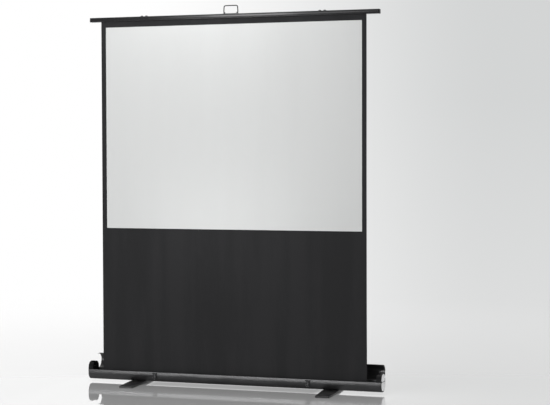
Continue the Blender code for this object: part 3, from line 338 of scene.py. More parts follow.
def hardFinish(slotName, look):
    # colour drifts in patches, lightens along worn edges and under dust; dust is rough too
    material, tree, shader, where = newMaterial(slotName + "_finish")
    if look["pattern"] == "grain":
        pattern = useGroup(tree, grain, Vector=where, Size=look["size"])
    else:
        pattern = useGroup(tree, drawLines, Vector=where, Pitch=look["size"])
    height, patches = pattern
    colour, rough = strayed(tree, patches, patches, look)
    worn = useGroup(tree, edgeWear, Vector=where, Amount=look["wear"])["Mask"]
    dusty = useGroup(tree, dust, Vector=where, Amount=look["dust"])["Mask"]
    colour = blendColour(tree, worn, colour, opaque(look["worn"]))
    colour = blendColour(tree, dusty, colour, opaque(dustColour))
    rough = calc(tree, "MULTIPLY_ADD", dusty, look["dustRough"], rough, clamp=True)
    feedShader(tree, shader, look, colour, rough, height, look["size"])
    return material


# the upward stretch and the share of the patches set the painted fold shading of both cloths
plainCloth = {
    "metallic": 0.0, "roughLow": -0.03, "roughHigh": 0.04, "colourSpan": (0.38, 0.62),
    "roughSpan": (0.3, 0.7), "foldShadeStretch": (1.0, 1.0, 0.10), "grainSize": 0.003, "foldShadeShare": 0.8,
}
clothLook = {
    "black_cloth": {
        "colour": (0.0278, 0.0278, 0.0292), "roughness": 0.86, "specular": 0.18,
        "pitch": 0.0008, "bump": 0.22, "drift": 0.11, "patch": 0.13,
    },
    "white_cloth": {
        "colour": (0.76, 0.77, 0.765), "roughness": 0.66, "specular": 0.30,
        "pitch": 0.0005, "bump": 0.08, "drift": 0.012, "patch": 0.30,
    },
}


def clothFinish(slotName, look):
    # the weave gives the bump; slubs along the threads shift the colour, and patches stretched upwards shift
    # it as painted shade and light of hanging folds
    material, tree, shader, where = newMaterial(slotName + "_finish")
    height, slubs = useGroup(tree, weave, Vector=where, Pitch=look["pitch"])
    # painted fold shading: the patches' noise is stretched upwards, so that they run down the cloth like the
    # shade of folds
    foldShadeStretch = vectorCalc(tree, "MULTIPLY", where, look["foldShadeStretch"])
    patches = useGroup(tree, grain, Vector=foldShadeStretch, Size=look["grainSize"], Patch=look["patch"])["Patches"]
    slubs = calc(tree, "MULTIPLY", slubs, 1.0 - look["foldShadeShare"])
    shade = calc(tree, "MULTIPLY_ADD", patches, look["foldShadeShare"], slubs)
    colour, rough = strayed(tree, patches, shade, look)
    feedShader(tree, shader, look, colour, rough, height, look["pitch"])
    return material


finishes = {name: hardFinish(name, {**plainFinish, **look}) for name, look in finishLook.items()}
finishes.update({name: clothFinish(name, {**plainCloth, **look}) for name, look in clothLook.items()})
print("finishes made:", len(finishes))

slotOfNode = {part["node"]: part["material_slot"] for part in frame["record"]["subparts"]}
for name, node in nodes.items():
    if not node.material_slots:
        node.data.materials.append(None)
    for place in node.material_slots:
        place.material = finishes[slotOfNode[name]]


# surface helpers: a part is an array of corners and an array of quads
def loft(rings, capped=True):
    # each row of a grid is joined to the next; an end is closed by quads between its two sides
    rows, count = rings.shape[:2]
    index = np.arange(rows * count).reshape(rows, count)
    after = np.roll(index, -1, axis=1)
    quads = np.stack([index[:-1], after[:-1], after[1:], index[1:]], axis=-1).reshape(-1, 4)
    if capped:
        i = np.arange(count // 2 - 1)
        strip = np.stack([i, i + 1, count - 2 - i, count - 1 - i], axis=-1)
        quads = np.concatenate([quads, strip[:, ::-1], strip + (rows - 1) * count])
    return rings.reshape(-1, 3), quads


def alongX(profiles, stations):
    # a (y, z) profile, or one for each station, set at distances along X
    profiles = np.asarray(profiles)
    stations = np.asarray(stations, float)
    profiles = np.broadcast_to(profiles, (len(stations), *profiles.shape[-2:]))
    x = np.broadcast_to(stations[:, None, None], (*profiles.shape[:2], 1))
    return np.concatenate([x, profiles], axis=2)


def shrink(ring, distance):
    # an anticlockwise ring moved inwards along the normals of its neighbours' chord
    chord = np.roll(ring, -1, axis=0) - np.roll(ring, 1, axis=0)
    length = np.maximum(np.linalg.norm(chord, axis=1, keepdims=True), 1e-9)
    normal = np.stack([chord[:, 1], -chord[:, 0]], axis=-1) / length
    return ring - distance * normal


def roundedEnds(start, end, radius, steps):
    # stations and insets of a solid whose two end edges are quarter circles
    turn = np.linspace(0.0, math.pi / 2, steps)
    run, inset = radius * (1 - np.cos(turn)), radius * (1 - np.sin(turn))
    stations = np.concatenate([start + run, (end - run)[::-1]])
    return stations, np.concatenate([inset, inset[::-1]])


def softBar(ring, start, end, radius, steps):
    # a ring carried from start to end along X, drawn in at both ends
    stations, insets = roundedEnds(start, end, radius, steps)
    return loft(alongX(np.stack([shrink(ring, d) for d in insets]), stations))


def quadratic(start, control, end, t):
    # a curve from start to end that leaves and arrives in the direction of the control point
    return (1 - t) ** 2 * start + 2 * t * (1 - t) * control + t**2 * end


def softPolygon(corners, radius, steps):
    # each corner becomes a quadratic curve from one side to the next, radius away from it
    corners = np.asarray(corners, float)
    radius = np.broadcast_to(np.asarray(radius, float).reshape(-1, 1), (len(corners), 1))
    before, after = np.roll(corners, 1, axis=0) - corners, np.roll(corners, -1, axis=0) - corners
    a = corners + radius * before / np.linalg.norm(before, axis=1, keepdims=True)
    b = corners + radius * after / np.linalg.norm(after, axis=1, keepdims=True)
    t = np.linspace(0.0, 1.0, steps)[None, :, None]
    return quadratic(a[:, None], corners[:, None], b[:, None], t).reshape(-1, 2)


def circle(centre, radius, steps):
    # radius times the cosine and sine of even angles
    turn = np.linspace(0.0, math.tau, steps, endpoint=False)
    return np.array(centre) + radius * np.stack([np.cos(turn), np.sin(turn)], axis=-1)


def wirePath(flat, y):
    # an (x, z) path stood up at one depth
    return np.stack([flat[:, 0], np.full(len(flat), y), flat[:, 1]], axis=-1)


def evenly(ring, count):
    # the same closed outline with its points at equal distances
    around = np.concatenate([ring, ring[:1]])
    run = np.concatenate([[0.0], np.cumsum(np.linalg.norm(np.diff(around, axis=0), axis=1))])
    spots = np.linspace(0.0, run[-1], count, endpoint=False)
    return np.stack([np.interp(spots, run, around[:, k]) for k in (0, 1)], axis=-1)


def tube(path, radius, sides, closed=False):
    # rings round a path that lies at one depth, each across the path's direction
    across = np.array((0.0, 1.0, 0.0))
    if closed:
        tangent = np.roll(path, -1, axis=0) - np.roll(path, 1, axis=0)
    else:
        tangent = np.gradient(path, axis=0)
    tangent /= np.linalg.norm(tangent, axis=1, keepdims=True)
    outward = np.cross(tangent, across)
    turn = np.linspace(0.0, math.tau, sides, endpoint=False)[None, :, None]
    rings = path[:, None] + radius * (np.cos(turn) * across + np.sin(turn) * outward[:, None])
    if closed:
        return loft(np.concatenate([rings, rings[:1]]), capped=False)
    return loft(rings)


def turnedPart(profile, centre, steps):
    # (radius, height) points swept round a vertical axis; the profile ends near the axis, closed by strips
    profile = np.asarray(profile, float)
    turn = np.linspace(0.0, math.tau, steps, endpoint=False)
    r, z = profile[:, :1], np.broadcast_to(profile[:, 1:], (len(profile), steps))
    return loft(np.stack([centre[0] + r * np.cos(turn), centre[1] + r * np.sin(turn), z], axis=-1))


# angles in degrees: up to solidFlat faces join, over sharp edges stay crisp, over bevel they are rounded
meshLook = {
    "merge": 1e-6, "sharp": 32.0, "solidMerge": 2e-6, "solidFlat": 1.5, "solidSharp": 35.0, "bevel": 38.0,
    "bevelSteps": 2,
}


def cleanMesh(mesh, merge):
    # doubles merged and normals outwards
    shape = bmesh.new()
    shape.from_mesh(mesh)
    if merge:
        bmesh.ops.remove_doubles(shape, verts=shape.verts, dist=merge)
    bmesh.ops.recalc_face_normals(shape, faces=shape.faces)
    shape.to_mesh(mesh)
    shape.free()


def smoothMesh(mesh, sharp):
    mesh.shade_smooth()
    mesh.set_sharp_from_angle(angle=math.radians(sharp))


def makePiece(name, parts, body, slotName, replaced):
    # the parts become one mesh
    corners, quads, count = [], [], 0
    for points, faces in parts:
        corners.append(points)
        quads.append(faces + count)
        count += len(points)
    mesh = bpy.data.meshes.new(name)
    mesh.from_pydata(np.concatenate(corners), [], np.concatenate(quads).tolist())
    return finishPiece(name, mesh, body, slotName, replaced, meshLook["sharp"])


def finishPiece(name, mesh, body, slotName, replaced, sharp):
    cleanMesh(mesh, meshLook["merge"])
    smoothMesh(mesh, sharp)
    piece = placeObject(name, mesh)
    mesh.materials.append(finishes[slotName])
    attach(piece, body)
    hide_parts(*replaced)
    return piece


def carve(piece, tools):
    # exact booleans with solids that are thrown away afterwards
    cutters = []
    for i, (points, faces) in enumerate(tools):
        mesh = bpy.data.meshes.new(f"{piece.name}_tool{i}")
        mesh.from_pydata(points, [], faces.tolist())
        cleanMesh(mesh, 0.0)
        cutters.append(placeObject(mesh.name, mesh))
        modifier = piece.modifiers.new(mesh.name, "BOOLEAN")
        modifier.operation, modifier.solver, modifier.object = "DIFFERENCE", "EXACT", cutters[-1]
    done = bpy.data.meshes.new_from_object(piece.evaluated_get(bpy.context.evaluated_depsgraph_get()))
    piece.modifiers.clear()
    piece.data = done
    smoothMesh(done, meshLook["sharp"])
    for cutter in cutters:
        bpy.data.meshes.remove(cutter.data)


def box(low, high):
    # a cutter with square corners
    (x0, y0, z0), (x1, y1, z1) = low, high
    ring = np.array([(y0, z0), (y1, z0), (y1, z1), (y0, z1)])
    return loft(alongX(ring, [x0, x1]))


def roundedCopy(name, edge):
    # a merged copy of a CAD solid, its flat triangles joined again and its edges rounded
    shape = bmesh.new()
    shape.from_mesh(nodes[name].data)
    bmesh.ops.remove_doubles(shape, verts=shape.verts, dist=meshLook["solidMerge"])
    flat = math.radians(meshLook["solidFlat"])
    bmesh.ops.dissolve_limit(shape, angle_limit=flat, verts=shape.verts, edges=shape.edges)
    mesh = bpy.data.meshes.new(name + "_rounded")
    shape.to_mesh(mesh)
    shape.free()
    piece = finishPiece(mesh.name, mesh, bodyOfNode[name], slotOfNode[name], [name], meshLook["solidSharp"])
    bevel = piece.modifiers.new("edge", "BEVEL")
    bevel.width, bevel.segments = edge, meshLook["bevelSteps"]
    bevel.limit_method, bevel.angle_limit = "ANGLE", math.radians(meshLook["bevel"])


sides = {"left": -1, "right": 1}

# the case: two curved shells whose knuckles share one rod
caseShape = {
    "halfDepth": 0.046, "halfHeight": 0.05475, "middle": (0.0, 0.06925), "power": 2.5,
    "wall": 0.0018, "halfLength": 0.8965, "parting": 0.0745205, "partingGap": 0.0004,
    "frontLip": 0.0045, "lidLip": 0.0035, "lipRound": 0.0010, "points": 84, "lipSteps": 3, "cornerSteps": 7,
    "hinge": (0.0482, 0.0745205), "knuckle": 0.0036, "knuckles": 13, "knuckleGap": 0.0006,
    "knuckleEnd": 0.0005, "notch": 0.0043, "notchSlope": 2e-5, "lidOpen": 115.0,
    "shellOver": (0.0200, 0.0200), "lidOver": (0.0110, 0.0),
}


def caseAngle(z, inset):
    # the superellipse angle, measured from the side, at which its height is z
    rise = z - caseShape["middle"][1]
    share = np.abs(rise) / (caseShape["halfHeight"] - inset)
    return np.arcsin(np.sign(rise) * share ** (caseShape["power"] / 2))


def caseOval(angles, inset):
    # superellipse: each half axis, less the inset, times the cosine or sine raised to 2 over the power
    c, s, power = np.cos(angles), np.sin(angles), 2 / caseShape["power"]
    y = (caseShape["halfDepth"] - inset) * np.sign(c) * np.abs(c) ** power
    z = (caseShape["halfHeight"] - inset) * np.sign(s) * np.abs(s) ** power
    return np.stack([y, z], axis=-1) + caseShape["middle"]


def halfEdge(lower):
    # which way the half lies from the parting, and the height of its edge
    return (-1, caseShape["parting"]) if lower else (1, caseShape["parting"] + caseShape["partingGap"])


def frontDepth(z, inset):
    # how far in front the oval lies at a height
    return caseOval(np.array([math.pi - caseAngle(z, inset)]), inset)[0, 0]


def wallPath(inset, edgeZ, lip, upward, rearZ):
    # lip, rounded front edge, then the oval from the front edge to rearZ, under or over the case
    reach = caseShape["lipRound"] + inset / 2
    first, last = math.pi - caseAngle(edgeZ + upward * reach, inset), caseAngle(rearZ, inset)
    arc = caseOval(np.linspace(first, last if upward > 0 else math.tau + last, caseShape["points"]), inset)
    front, steps = frontDepth(edgeZ, inset), caseShape["lipSteps"]
    lipLine = np.stack([np.linspace(lip, front + reach, steps + 1)[:-1], np.full(steps, edgeZ)], axis=-1)
    t = np.linspace(0.0, 1.0, caseShape["cornerSteps"])[:, None]
    corner = quadratic(np.array((front + reach, edgeZ)), np.array((front, edgeZ)), arc[0], t)
    return np.concatenate([lipLine, corner, arc[1:]])


def wallRing(lower, rearZ):
    # outer path out and inner path back, so that the two sides of the wall face each other
    (up, edge), wall = halfEdge(lower), caseShape["wall"]
    lip = frontDepth(edge, 0.0) + caseShape["frontLip" if lower else "lidLip"]
    outer = wallPath(0.0, edge, lip, up, rearZ)
    inner = wallPath(wall, edge + up * wall, lip, up, rearZ)
    return np.concatenate([outer, inner[::-1]])


def caseHalf(lower):
    # the shell has the even knuckles, the lid the odd ones; between its own the wall's rear edge drops away
    half, count = caseShape["halfLength"], caseShape["knuckles"]
    pitch, gap, slope = 2 * half / count, caseShape["knuckleGap"] / 2, caseShape["notchSlope"]
    up, edge = halfEdge(lower)
    full, notched = wallRing(lower, edge), wallRing(lower, edge + up * caseShape["notch"])
    stations, rings, knuckleParts = [], [], []
    barrel = circle(caseShape["hinge"], caseShape["knuckle"], steps=32)
    for number in range(count):
        x, mine = -half + pitch * number, (number % 2 == 0) == lower
        low, high = (x + gap + slope, x + pitch - gap - slope) if mine else (x - gap, x + pitch + gap)
        low, high = max(low, -half), min(high, half)
        stations += [low, high]
        rings += [full if mine else notched] * 2
        if mine:
            knuckleParts.append(softBar(barrel, low, high, caseShape["knuckleEnd"], steps=4))
    # the ends run on over the caps
    over = caseShape["shellOver" if lower else "lidOver"]
    stations[0] -= over[0]
    stations[-1] += over[1]
    return [loft(alongX(np.stack(rings), stations))] + knuckleParts


def swingLid(parts):
    # turned about the hinge rod by the angle at which the lid stands open
    y0, z0 = caseShape["hinge"]
    turn = math.radians(-caseShape["lidOpen"])
    c, s = math.cos(turn), math.sin(turn)
    swung = []
    for points, faces in parts:
        y, z = points[:, 1] - y0, points[:, 2] - z0
        swung.append((np.stack([points[:, 0], y0 + y * c - z * s, z0 + y * s + z * c], axis=-1), faces))
    return swung


makePiece("case_shell_drawn", caseHalf(True), "base", "case_metal", ["housing_shell"])
makePiece("case_lid_drawn", swingLid(caseHalf(False)), "lid", "case_metal", ["housing_lid"])
print("case made")

# moulded ends: a rounded flange, a spigot in the shells and a pocket for the folded bar
capShape = {
    "face": 0.9170, "inner": 0.8880, "edge": 0.0024, "spigotInset": 0.0021, "pocketWall": 0.0085,
    "pocketDepth": (-0.0267, 0.0143), "pocketLow": 0.0925, "points": 128, "seat": 0.0003,
    "cutOver": 0.004, "cutTop": 0.135, "cutFront": -0.05, "lipClear": 0.0049, "partingClear": 0.0001,
}


def capSolid(sign):
    # stations outwards: spigot, step out to the flange, and rounded flange edges
    full = np.linspace(0.0, math.tau, capShape["points"], endpoint=False)
    start = caseShape["halfLength"] + capShape["seat"]
    stations, insets = roundedEnds(start, capShape["face"], capShape["edge"], steps=7)
    stations = np.concatenate([[capShape["inner"], start], stations])
    insets = np.concatenate([[capShape["spigotInset"]] * 2, insets])
    rings = np.stack([caseOval(full, max(inset, capShape["spigotInset"])) for inset in insets])
    return loft(alongX(rings, sign * stations))


# inset and drop of each ring on the rim's two edges, then the insets of the rings in the recess
coverShape = {
    "start": 0.9173, "end": 0.9190, "margin": 0.0048, "seam": 0.0036, "rim": 0.0030, "recess": 0.0009,
    "points": 96, "evened": 40, "outerEdge": ((0.0, 0.0006), (0.0002, 0.0002), (0.0007, 0.0)),
    "innerEdge": ((-0.0006, 0.0), (0.0, 0.0003)), "recessEdge": (0.0003, 0.0012), "drawnPoints": 720,
}


def lobeRing(upper):
    # the case's oval cut straight beside the parting, spread evenly and then evened out at its corners
    turn = np.linspace(0.0, math.tau, coverShape["drawnPoints"], endpoint=False)
    ring = caseOval(turn, coverShape["margin"])
    line = caseShape["parting"] + (coverShape["seam"] if upper else -coverShape["seam"]) / 2
    z = np.maximum(ring[:, 1], line) if upper else np.minimum(ring[:, 1], line)
    ring = evenly(np.stack([ring[:, 0], z], axis=-1), coverShape["points"])
    for _ in range(coverShape["evened"]):
        ring = (np.roll(ring, 1, axis=0) + 2 * ring + np.roll(ring, -1, axis=0)) / 4
    return ring


def lobeSolid(sign, upper):
    # rings inwards over a raised rim and down to a flat recess
    ring, high, rim = lobeRing(upper), coverShape["end"], coverShape["rim"]
    steps = [(0.0, coverShape["start"])] + [(inset, high - drop) for inset, drop in coverShape["outerEdge"]]
    steps += [(rim + inset, high - drop) for inset, drop in coverShape["innerEdge"]]
    steps += [(rim + inset, high - coverShape["recess"]) for inset in coverShape["recessEdge"]]
    rings = np.stack([alongX(shrink(ring, inset), [sign * x])[0] for inset, x in steps])
    return loft(rings)


def carveCap(cap, sign):
    # one box for the pocket, and one that frees the shell's front lip below the parting
    start, face = capShape["inner"] - capShape["cutOver"], capShape["face"]
    x0, x1 = sorted((sign * start, sign * (face - capShape["pocketWall"])))
    y0, y1 = capShape["pocketDepth"]
    pocket = box((x0, y0, capShape["pocketLow"]), (x1, y1, capShape["cutTop"]))
    x0, x1 = sorted((sign * start, sign * (face + capShape["cutOver"])))
    parting, rear = caseShape["parting"], capShape["lipClear"] - caseShape["halfDepth"]
    low, high = parting - capShape["spigotInset"], parting + capShape["partingClear"]
    carve(cap, [pocket, box((x0, capShape["cutFront"], low), (x1, rear, high))])


for side, sign in sides.items():
    cap = makePiece(f"end_cap_moulded_{side}", [capSolid(sign)], "base", "black_plastic", [f"end_cap_{side}"])
    carveCap(cap, sign)
    lobes = [lobeSolid(sign, True), lobeSolid(sign, False)]
    makePiece(f"end_cover_lobed_{side}", lobes, "base", "grey_plastic", [f"end_cover_{side}"])
print("end caps made")

# top bar: a drawn profile whose front has a leaning strip, with grooves, hem channel and bracket slot
barShape = {
    "halfDepth": 0.0185, "halfHeight": 0.013, "middle": (-0.0062, 2.1782), "halfLength": 0.8985,
    "leanFrom": -0.0034, "leanTo": 0.0042, "lean": 0.0022, "brow": 0.0024, "cornerSteps": 16,
    "rounds": (0.0001, 0.0048, 0.00384, 0.00096, 0.00144, 0.00384, 0.0048), "points": 240, "endRound": 0.0003,
    "groove": 0.0004, "grooveWidth": 0.0009, "grooveAt": (0.0052, -0.0044), "grooveFrom": 0.8,
    "low": 2.1652, "hemY": -0.0175, "hemSlot": (-0.0207, -0.0188), "hemDepth": 0.0052, "hemRadius": 0.0034,
    "teeY": 0.0036, "teeMouth": 0.0094, "teeWidth": 0.0150, "teeLow": 0.0016, "teeHeight": 0.0034,
    "mouthOver": 0.001, "cutOver": 0.005, "plugSeat": 0.0003, "plugLip": 0.0025, "plugRound": 0.0012,
}


def barRing(look, grooved=True):
    # a polygon with soft corners, its front and back pressed in by a narrow bell at each groove's height
    a, b = look["halfDepth"], look["halfHeight"]
    corners = [(a, 0.0), (a, b), (look["brow"] - a, b), (look["lean"] - a, look["leanTo"]),
               (-a, look["leanFrom"]), (-a, -b), (a, -b)]
    soft = softPolygon(corners, look["rounds"], look["cornerSteps"])
    ring = evenly(soft + np.array(look["middle"]), look["points"])
    if not grooved:
        return ring
    rise = ring[:, 1] - look["middle"][1]
    onSide = np.abs(ring[:, 0] - look["middle"][0]) > look["grooveFrom"] * a
    dip = sum(np.exp(-((rise - at) / (look["grooveWidth"] / 2)) ** 2) for at in look["grooveAt"])
    return shrink(ring, (look["groove"] * dip * onSide)[:, None])


def barCutters(look):
    # the bracket slot's mouth and the slot, the hem's round channel and its mouth, all run past both ends
    reach, low, under = look["halfLength"] + look["cutOver"], look["low"], look["low"] - look["cutOver"]
    teeLow, hemZ = low + look["teeLow"], low + look["hemDepth"]
    teeY, mouth, slot = look["teeY"], look["teeMouth"] / 2, look["teeWidth"] / 2
    return [
        box((-reach, teeY - mouth, under), (reach, teeY + mouth, teeLow + look["mouthOver"])),
        box((-reach, teeY - slot, teeLow), (reach, teeY + slot, teeLow + look["teeHeight"])),
        loft(alongX(circle((look["hemY"], hemZ), look["hemRadius"], steps=32), [-reach, reach])),
        box((-reach, look["hemSlot"][0], under), (reach, look["hemSlot"][1], hemZ)),
    ]


half = barShape["halfLength"]
drawn = softBar(barRing(barShape), -half, half, barShape["endRound"], steps=3)
carve(makePiece("top_bar_drawn", [drawn], "bar", "black_metal", ["top_bar"]), barCutters(barShape))
for side, sign in sides.items():
    start = half + barShape["plugSeat"]
    stations, insets = roundedEnds(start, start + barShape["plugLip"], barShape["plugRound"], steps=6)
    rings = alongX(np.stack([shrink(barRing(barShape, False), d) for d in insets]), sign * stations)
    makePiece(f"bar_plug_moulded_{side}", [loft(rings)], "bar", "black_plastic", [f"bar_plug_{side}"])
print("top bar made")

# round heads of the screws that hold the arms' brackets under the bar
headShape = {
    "x": (0.5422, 0.5718), "y": 0.0036, "seat": 2.1915, "radius": 0.0086, "height": 0.0058, "socket": 0.0020,
    "shank": 0.0020, "tip": 2.1688, "axis": 0.0001, "domeFrom": 0.25, "socketFloor": 0.35, "steps": 9,
}


def headProfile(look):
    # shank, flat seat, a quarter ellipse for the dome and a round socket in its top
    seat, radius, height, socket = look["seat"], look["radius"], look["height"], look["socket"]
    turn = np.linspace(0.0, math.pi / 2, look["steps"])
    rise = look["domeFrom"] + (1.0 - look["domeFrom"]) * np.sin(turn)
    dome = np.stack([socket + (radius - socket) * np.cos(turn), seat + height * rise], axis=-1)
    start = [(look["axis"], look["tip"]), (look["shank"], look["tip"]), (look["shank"], seat), (radius, seat)]
    floor = seat + look["socketFloor"] * height
    return np.concatenate([start, dome, [(socket, floor), (look["axis"], floor)]])


for side, sign in sides.items():
    for place, x in zip(("inner", "outer"), headShape["x"]):
        head = turnedPart(headProfile(headShape), (sign * x, headShape["y"]), steps=32)
        replaced = [f"bracket_screw_{side}_{place}"]
        makePiece(f"bracket_screw_turned_{side}_{place}", [head], "bar", "dark_steel", replaced)
print("screw heads made")

# handle: a bent wire whose ends turn in through two ears
handleShape = {
    "y": -0.0062, "ear": 2.1975, "top": 2.2390, "tip": 0.0356, "foot": 0.0440, "shoulder": 0.0422,
    "wire": 0.0030, "footBend": 0.0052, "topBend": 0.0120, "tipBend": 0.00001, "cornerSteps": 14,
}


def bailPath(look):
    # three sides and two turned-in ends, with curved corners; each tip's own curve is left out
    tip, foot, shoulder = look["tip"], look["foot"], look["shoulder"]
    ear, top, a, b, c = look["ear"], look["top"], look["footBend"], look["topBend"], look["tipBend"]
    ends = [(-tip, ear), (-foot, ear), (-shoulder, top), (shoulder, top), (foot, ear), (tip, ear)]
    spare = look["cornerSteps"] - 1
    return wirePath(softPolygon(ends, [c, a, b, b, a, c], look["cornerSteps"])[spare:-spare], look["y"])


bail = tube(bailPath(handleShape), handleShape["wire"], sides=20)
makePiece("handle_bail_bent", [bail], "handle", "dark_steel", ["handle_bail"])
print("handle made")

# feet: flat arms that taper to both ends, crowned along their middle
footShape = {
    "x": 0.605, "reach": 0.238, "midHalf": 0.049, "tipHalf": 0.040, "turn": 5.0, "cornerRadius": 0.013,
    "nose": 0.05, "noseRadius": 0.001, "midRadius": 0.06, "low": 0.0015, "high": 0.0140, "edge": 0.0030,
    "lowEdge": 0.0008, "crown": 0.0012, "crownSteps": (0.85, 0.7, 0.5, 0.3, 0.1), "crownDraw": 0.12,
    "cornerSteps": 10, "edgeSteps": 5,
}


def footRings(look):
    # the plan is drawn in over a rounded lower and upper edge, then towards its spine as the crown rises
    tip, mid, reach, nose = look["tipHalf"], look["midHalf"], look["reach"], look["reach"] + look["nose"]
    radii = [look[key] for key in ("noseRadius", "cornerRadius", "midRadius", "cornerRadius", "noseRadius")]
    corners = [(0.0, -nose), (tip, -reach), (mid, 0.0), (tip, reach), (0.0, nose)]
    half = softPolygon(corners, radii, look["cornerSteps"])
    right = half[(np.abs(half[:, 1]) <= reach) & (half[:, 0] > 0.0)]
    plan = np.concatenate([right, np.stack([-right[::-1, 0], right[::-1, 1]], axis=-1)])
    low, high, edge = look["low"], look["high"] - look["crown"], look["edge"]
    rows = [(look["lowEdge"], low), (0.0, low + look["lowEdge"]), (0.0, high - edge)]
    turns = np.linspace(0.0, math.pi / 2, look["edgeSteps"] + 1)[1:]
    rows += [(edge * (1 - math.cos(t)), high - edge + edge * math.sin(t)) for t in turns]
    rings = [np.concatenate([shrink(plan, inset), np.full((len(plan), 1), z)], axis=1) for inset, z in rows]
    last = rings[-1]
    for share in look["crownSteps"]:
        z = high + look["crown"] * (1 - share**2)
        along = last[:, 1] * (1 - (1 - share) * look["crownDraw"])
        rings.append(np.stack([last[:, 0] * share, along, np.full(len(plan), z)], axis=-1))
    return np.stack(rings)


def turnFoot(rings, x, degrees):
    # turned about its pivot, then moved along X to its place
    c, s = math.cos(math.radians(degrees)), math.sin(math.radians(degrees))
    u, v = rings[..., 0], rings[..., 1]
    return np.stack([x + u * c - v * s, u * s + v * c, rings[..., 2]], axis=-1)


for side, sign in sides.items():
    rings = turnFoot(footRings(footShape), sign * footShape["x"], footShape["turn"])
    makePiece(f"foot_moulded_{side}", [loft(rings)], f"{side}_foot", "foot_plastic", [f"foot_{side}"])
print("feet made")

# latch loops: bent wire rings that hang from the levers
loopShape = {
    "x": 0.480, "y": -0.0553, "top": 0.0576, "width": 0.015, "length": 0.026, "wire": 0.0012, "bend": 0.0032,
}
for side, sign in sides.items():
    x, halfWide = sign * loopShape["x"], loopShape["width"] / 2 - loopShape["wire"]
    top, low = loopShape["top"], loopShape["top"] - loopShape["length"] + 2 * loopShape["wire"]
    corners = [(x - halfWide, low), (x + halfWide, low), (x + halfWide, top), (x - halfWide, top)]
    path = wirePath(softPolygon(corners, loopShape["bend"], steps=9), loopShape["y"])
    loop = tube(path, loopShape["wire"], sides=14, closed=True)
    name, replaced = f"latch_loop_bent_{side}", [f"latch_loop_{side}"]
    bent = makePiece(name, [loop], f"{side}_loop", "bright_steel", replaced)
    bent.material_slots[0].material = finishes["loop_steel"]
print("latch loops made")

# solids whose shape is right get their edges rounded on a copy: the radius, lone solids, solids on both sides
roundedEdges = [
    (0.0005, ["handle_plate"], ["top_bracket", "latch_lever"]),
    (0.0004, ["lid_edge_seal"], ["latch_base", "lid_keeper"]),
    (0.0006, [], ["lower_arm", "upper_arm", "base_bracket"]),
]
for edge, lone, paired in roundedEdges:
    for name in lone + [f"{kind}_{side}" for side in sides for kind in paired]:
        roundedCopy(name, edge)
print("edges rounded")

# screen: black cloth from the roller to the bar, white picture coating on it
screenShape = {
    "ends": (-0.8275, 0.8275), "low": 0.0465, "top": 2.1714, "back": -0.0193, "thickness": 0.0005,
    "waves": ((0.0014, 0.92, 2.32), (0.0008, 0.47, 1.27), (0.0004, 0.26, 3.6)),
    "still": (0.12, 0.55), "tight": (1.20, 1.90), "across": 150, "up": 110, "kept": 0.0255,
}
pictureShape = {
    "ends": (-0.7970, 0.8000), "low": 0.9302, "top": 2.1302, "back": -0.0201, "thickness": 0.0003,
    "kept": 0.0050,
}


def easeIn(value, low, high):
    # 3 t squared minus 2 t cubed, where t goes from 0 at low to 1 at high
    t = np.clip((value - low) / (high - low), 0.0, 1.0)
    return t * t * (3 - 2 * t)


def clothBow(x, z):
    # cosine waves across the width lean forwards; they die out over the case and under the bar
    amount = sum(a * (1 + np.cos(math.tau * x / length + phase)) for a, length, phase in screenShape["waves"])
    return -amount * easeIn(z, *screenShape["still"]) * easeIn(z, *screenShape["tight"][::-1])


def clothSheet(look):
    # front row and back row of each height make one ring, and the rings rise from low to top
    x = np.linspace(*look["ends"], screenShape["across"])
    z = np.linspace(look["low"], look["top"], screenShape["up"])
    wide, high = np.meshgrid(x, z)
    rear = look["back"] + clothBow(wide, high)
    front = np.stack([wide, rear - look["thickness"], high], axis=-1)
    rear = np.stack([wide, rear, high], axis=-1)
    return loft(np.concatenate([front, rear[:, ::-1]], axis=1))


cloth = makePiece("screen_cloth", [clothSheet(screenShape)], "base", "black_cloth", ["screen_fabric"])
picture = makePiece("picture_coating", [clothSheet(pictureShape)], "base", "white_cloth", ["picture_surface"])
# folded, the cloth still reaches the bar, and the picture lies deep in the case as if wound up
# each sheet gets a mesh of its own
for sheet, share in ((cloth, screenShape["kept"]), (picture, pictureShape["kept"])):
    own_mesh(sheet)
print("screen made")

# studio: pale floor that fades into the backdrop's colour, and soft lights
studioLook = {
    "floorSize": 14.0, "floorColour": (0.92, 0.92, 0.92), "fadeFrom": 2.2, "fadeTo": 6.5,
    "floorGloss": 1.74, "floorFrom": 0.045, "floorIor": 1.5, "floorRough": 0.03, "floorBlur": 0.26,
    "mirrorFront": (-1.45, -1.05), "clearLong": (0.93, 1.10), "clearRear": (0.05, 0.30),
    # the last three set the painted shadow under the case: its strength, and where it fades out along X and
    # away from the case
    "glow": 0.067, "under": 0.52, "paintedShadowLong": (0.50, 0.60), "paintedShadowDeep": (0.05, 0.11),
    "backLeft": (1.0, 1.0, 1.0), "backRight": (0.655, 0.665, 0.665), "backPale": (0.750, 0.755, 0.755),
    "backTurn": (-0.42, -0.20), "paleBelow": (-0.16, 0.03), "paleAbove": (0.09, 0.14),
    "room": (0.22, 0.22, 0.22), "roomEnd": (-0.25, 0.15), "ambient": (0.30, 0.30, 0.30),
}
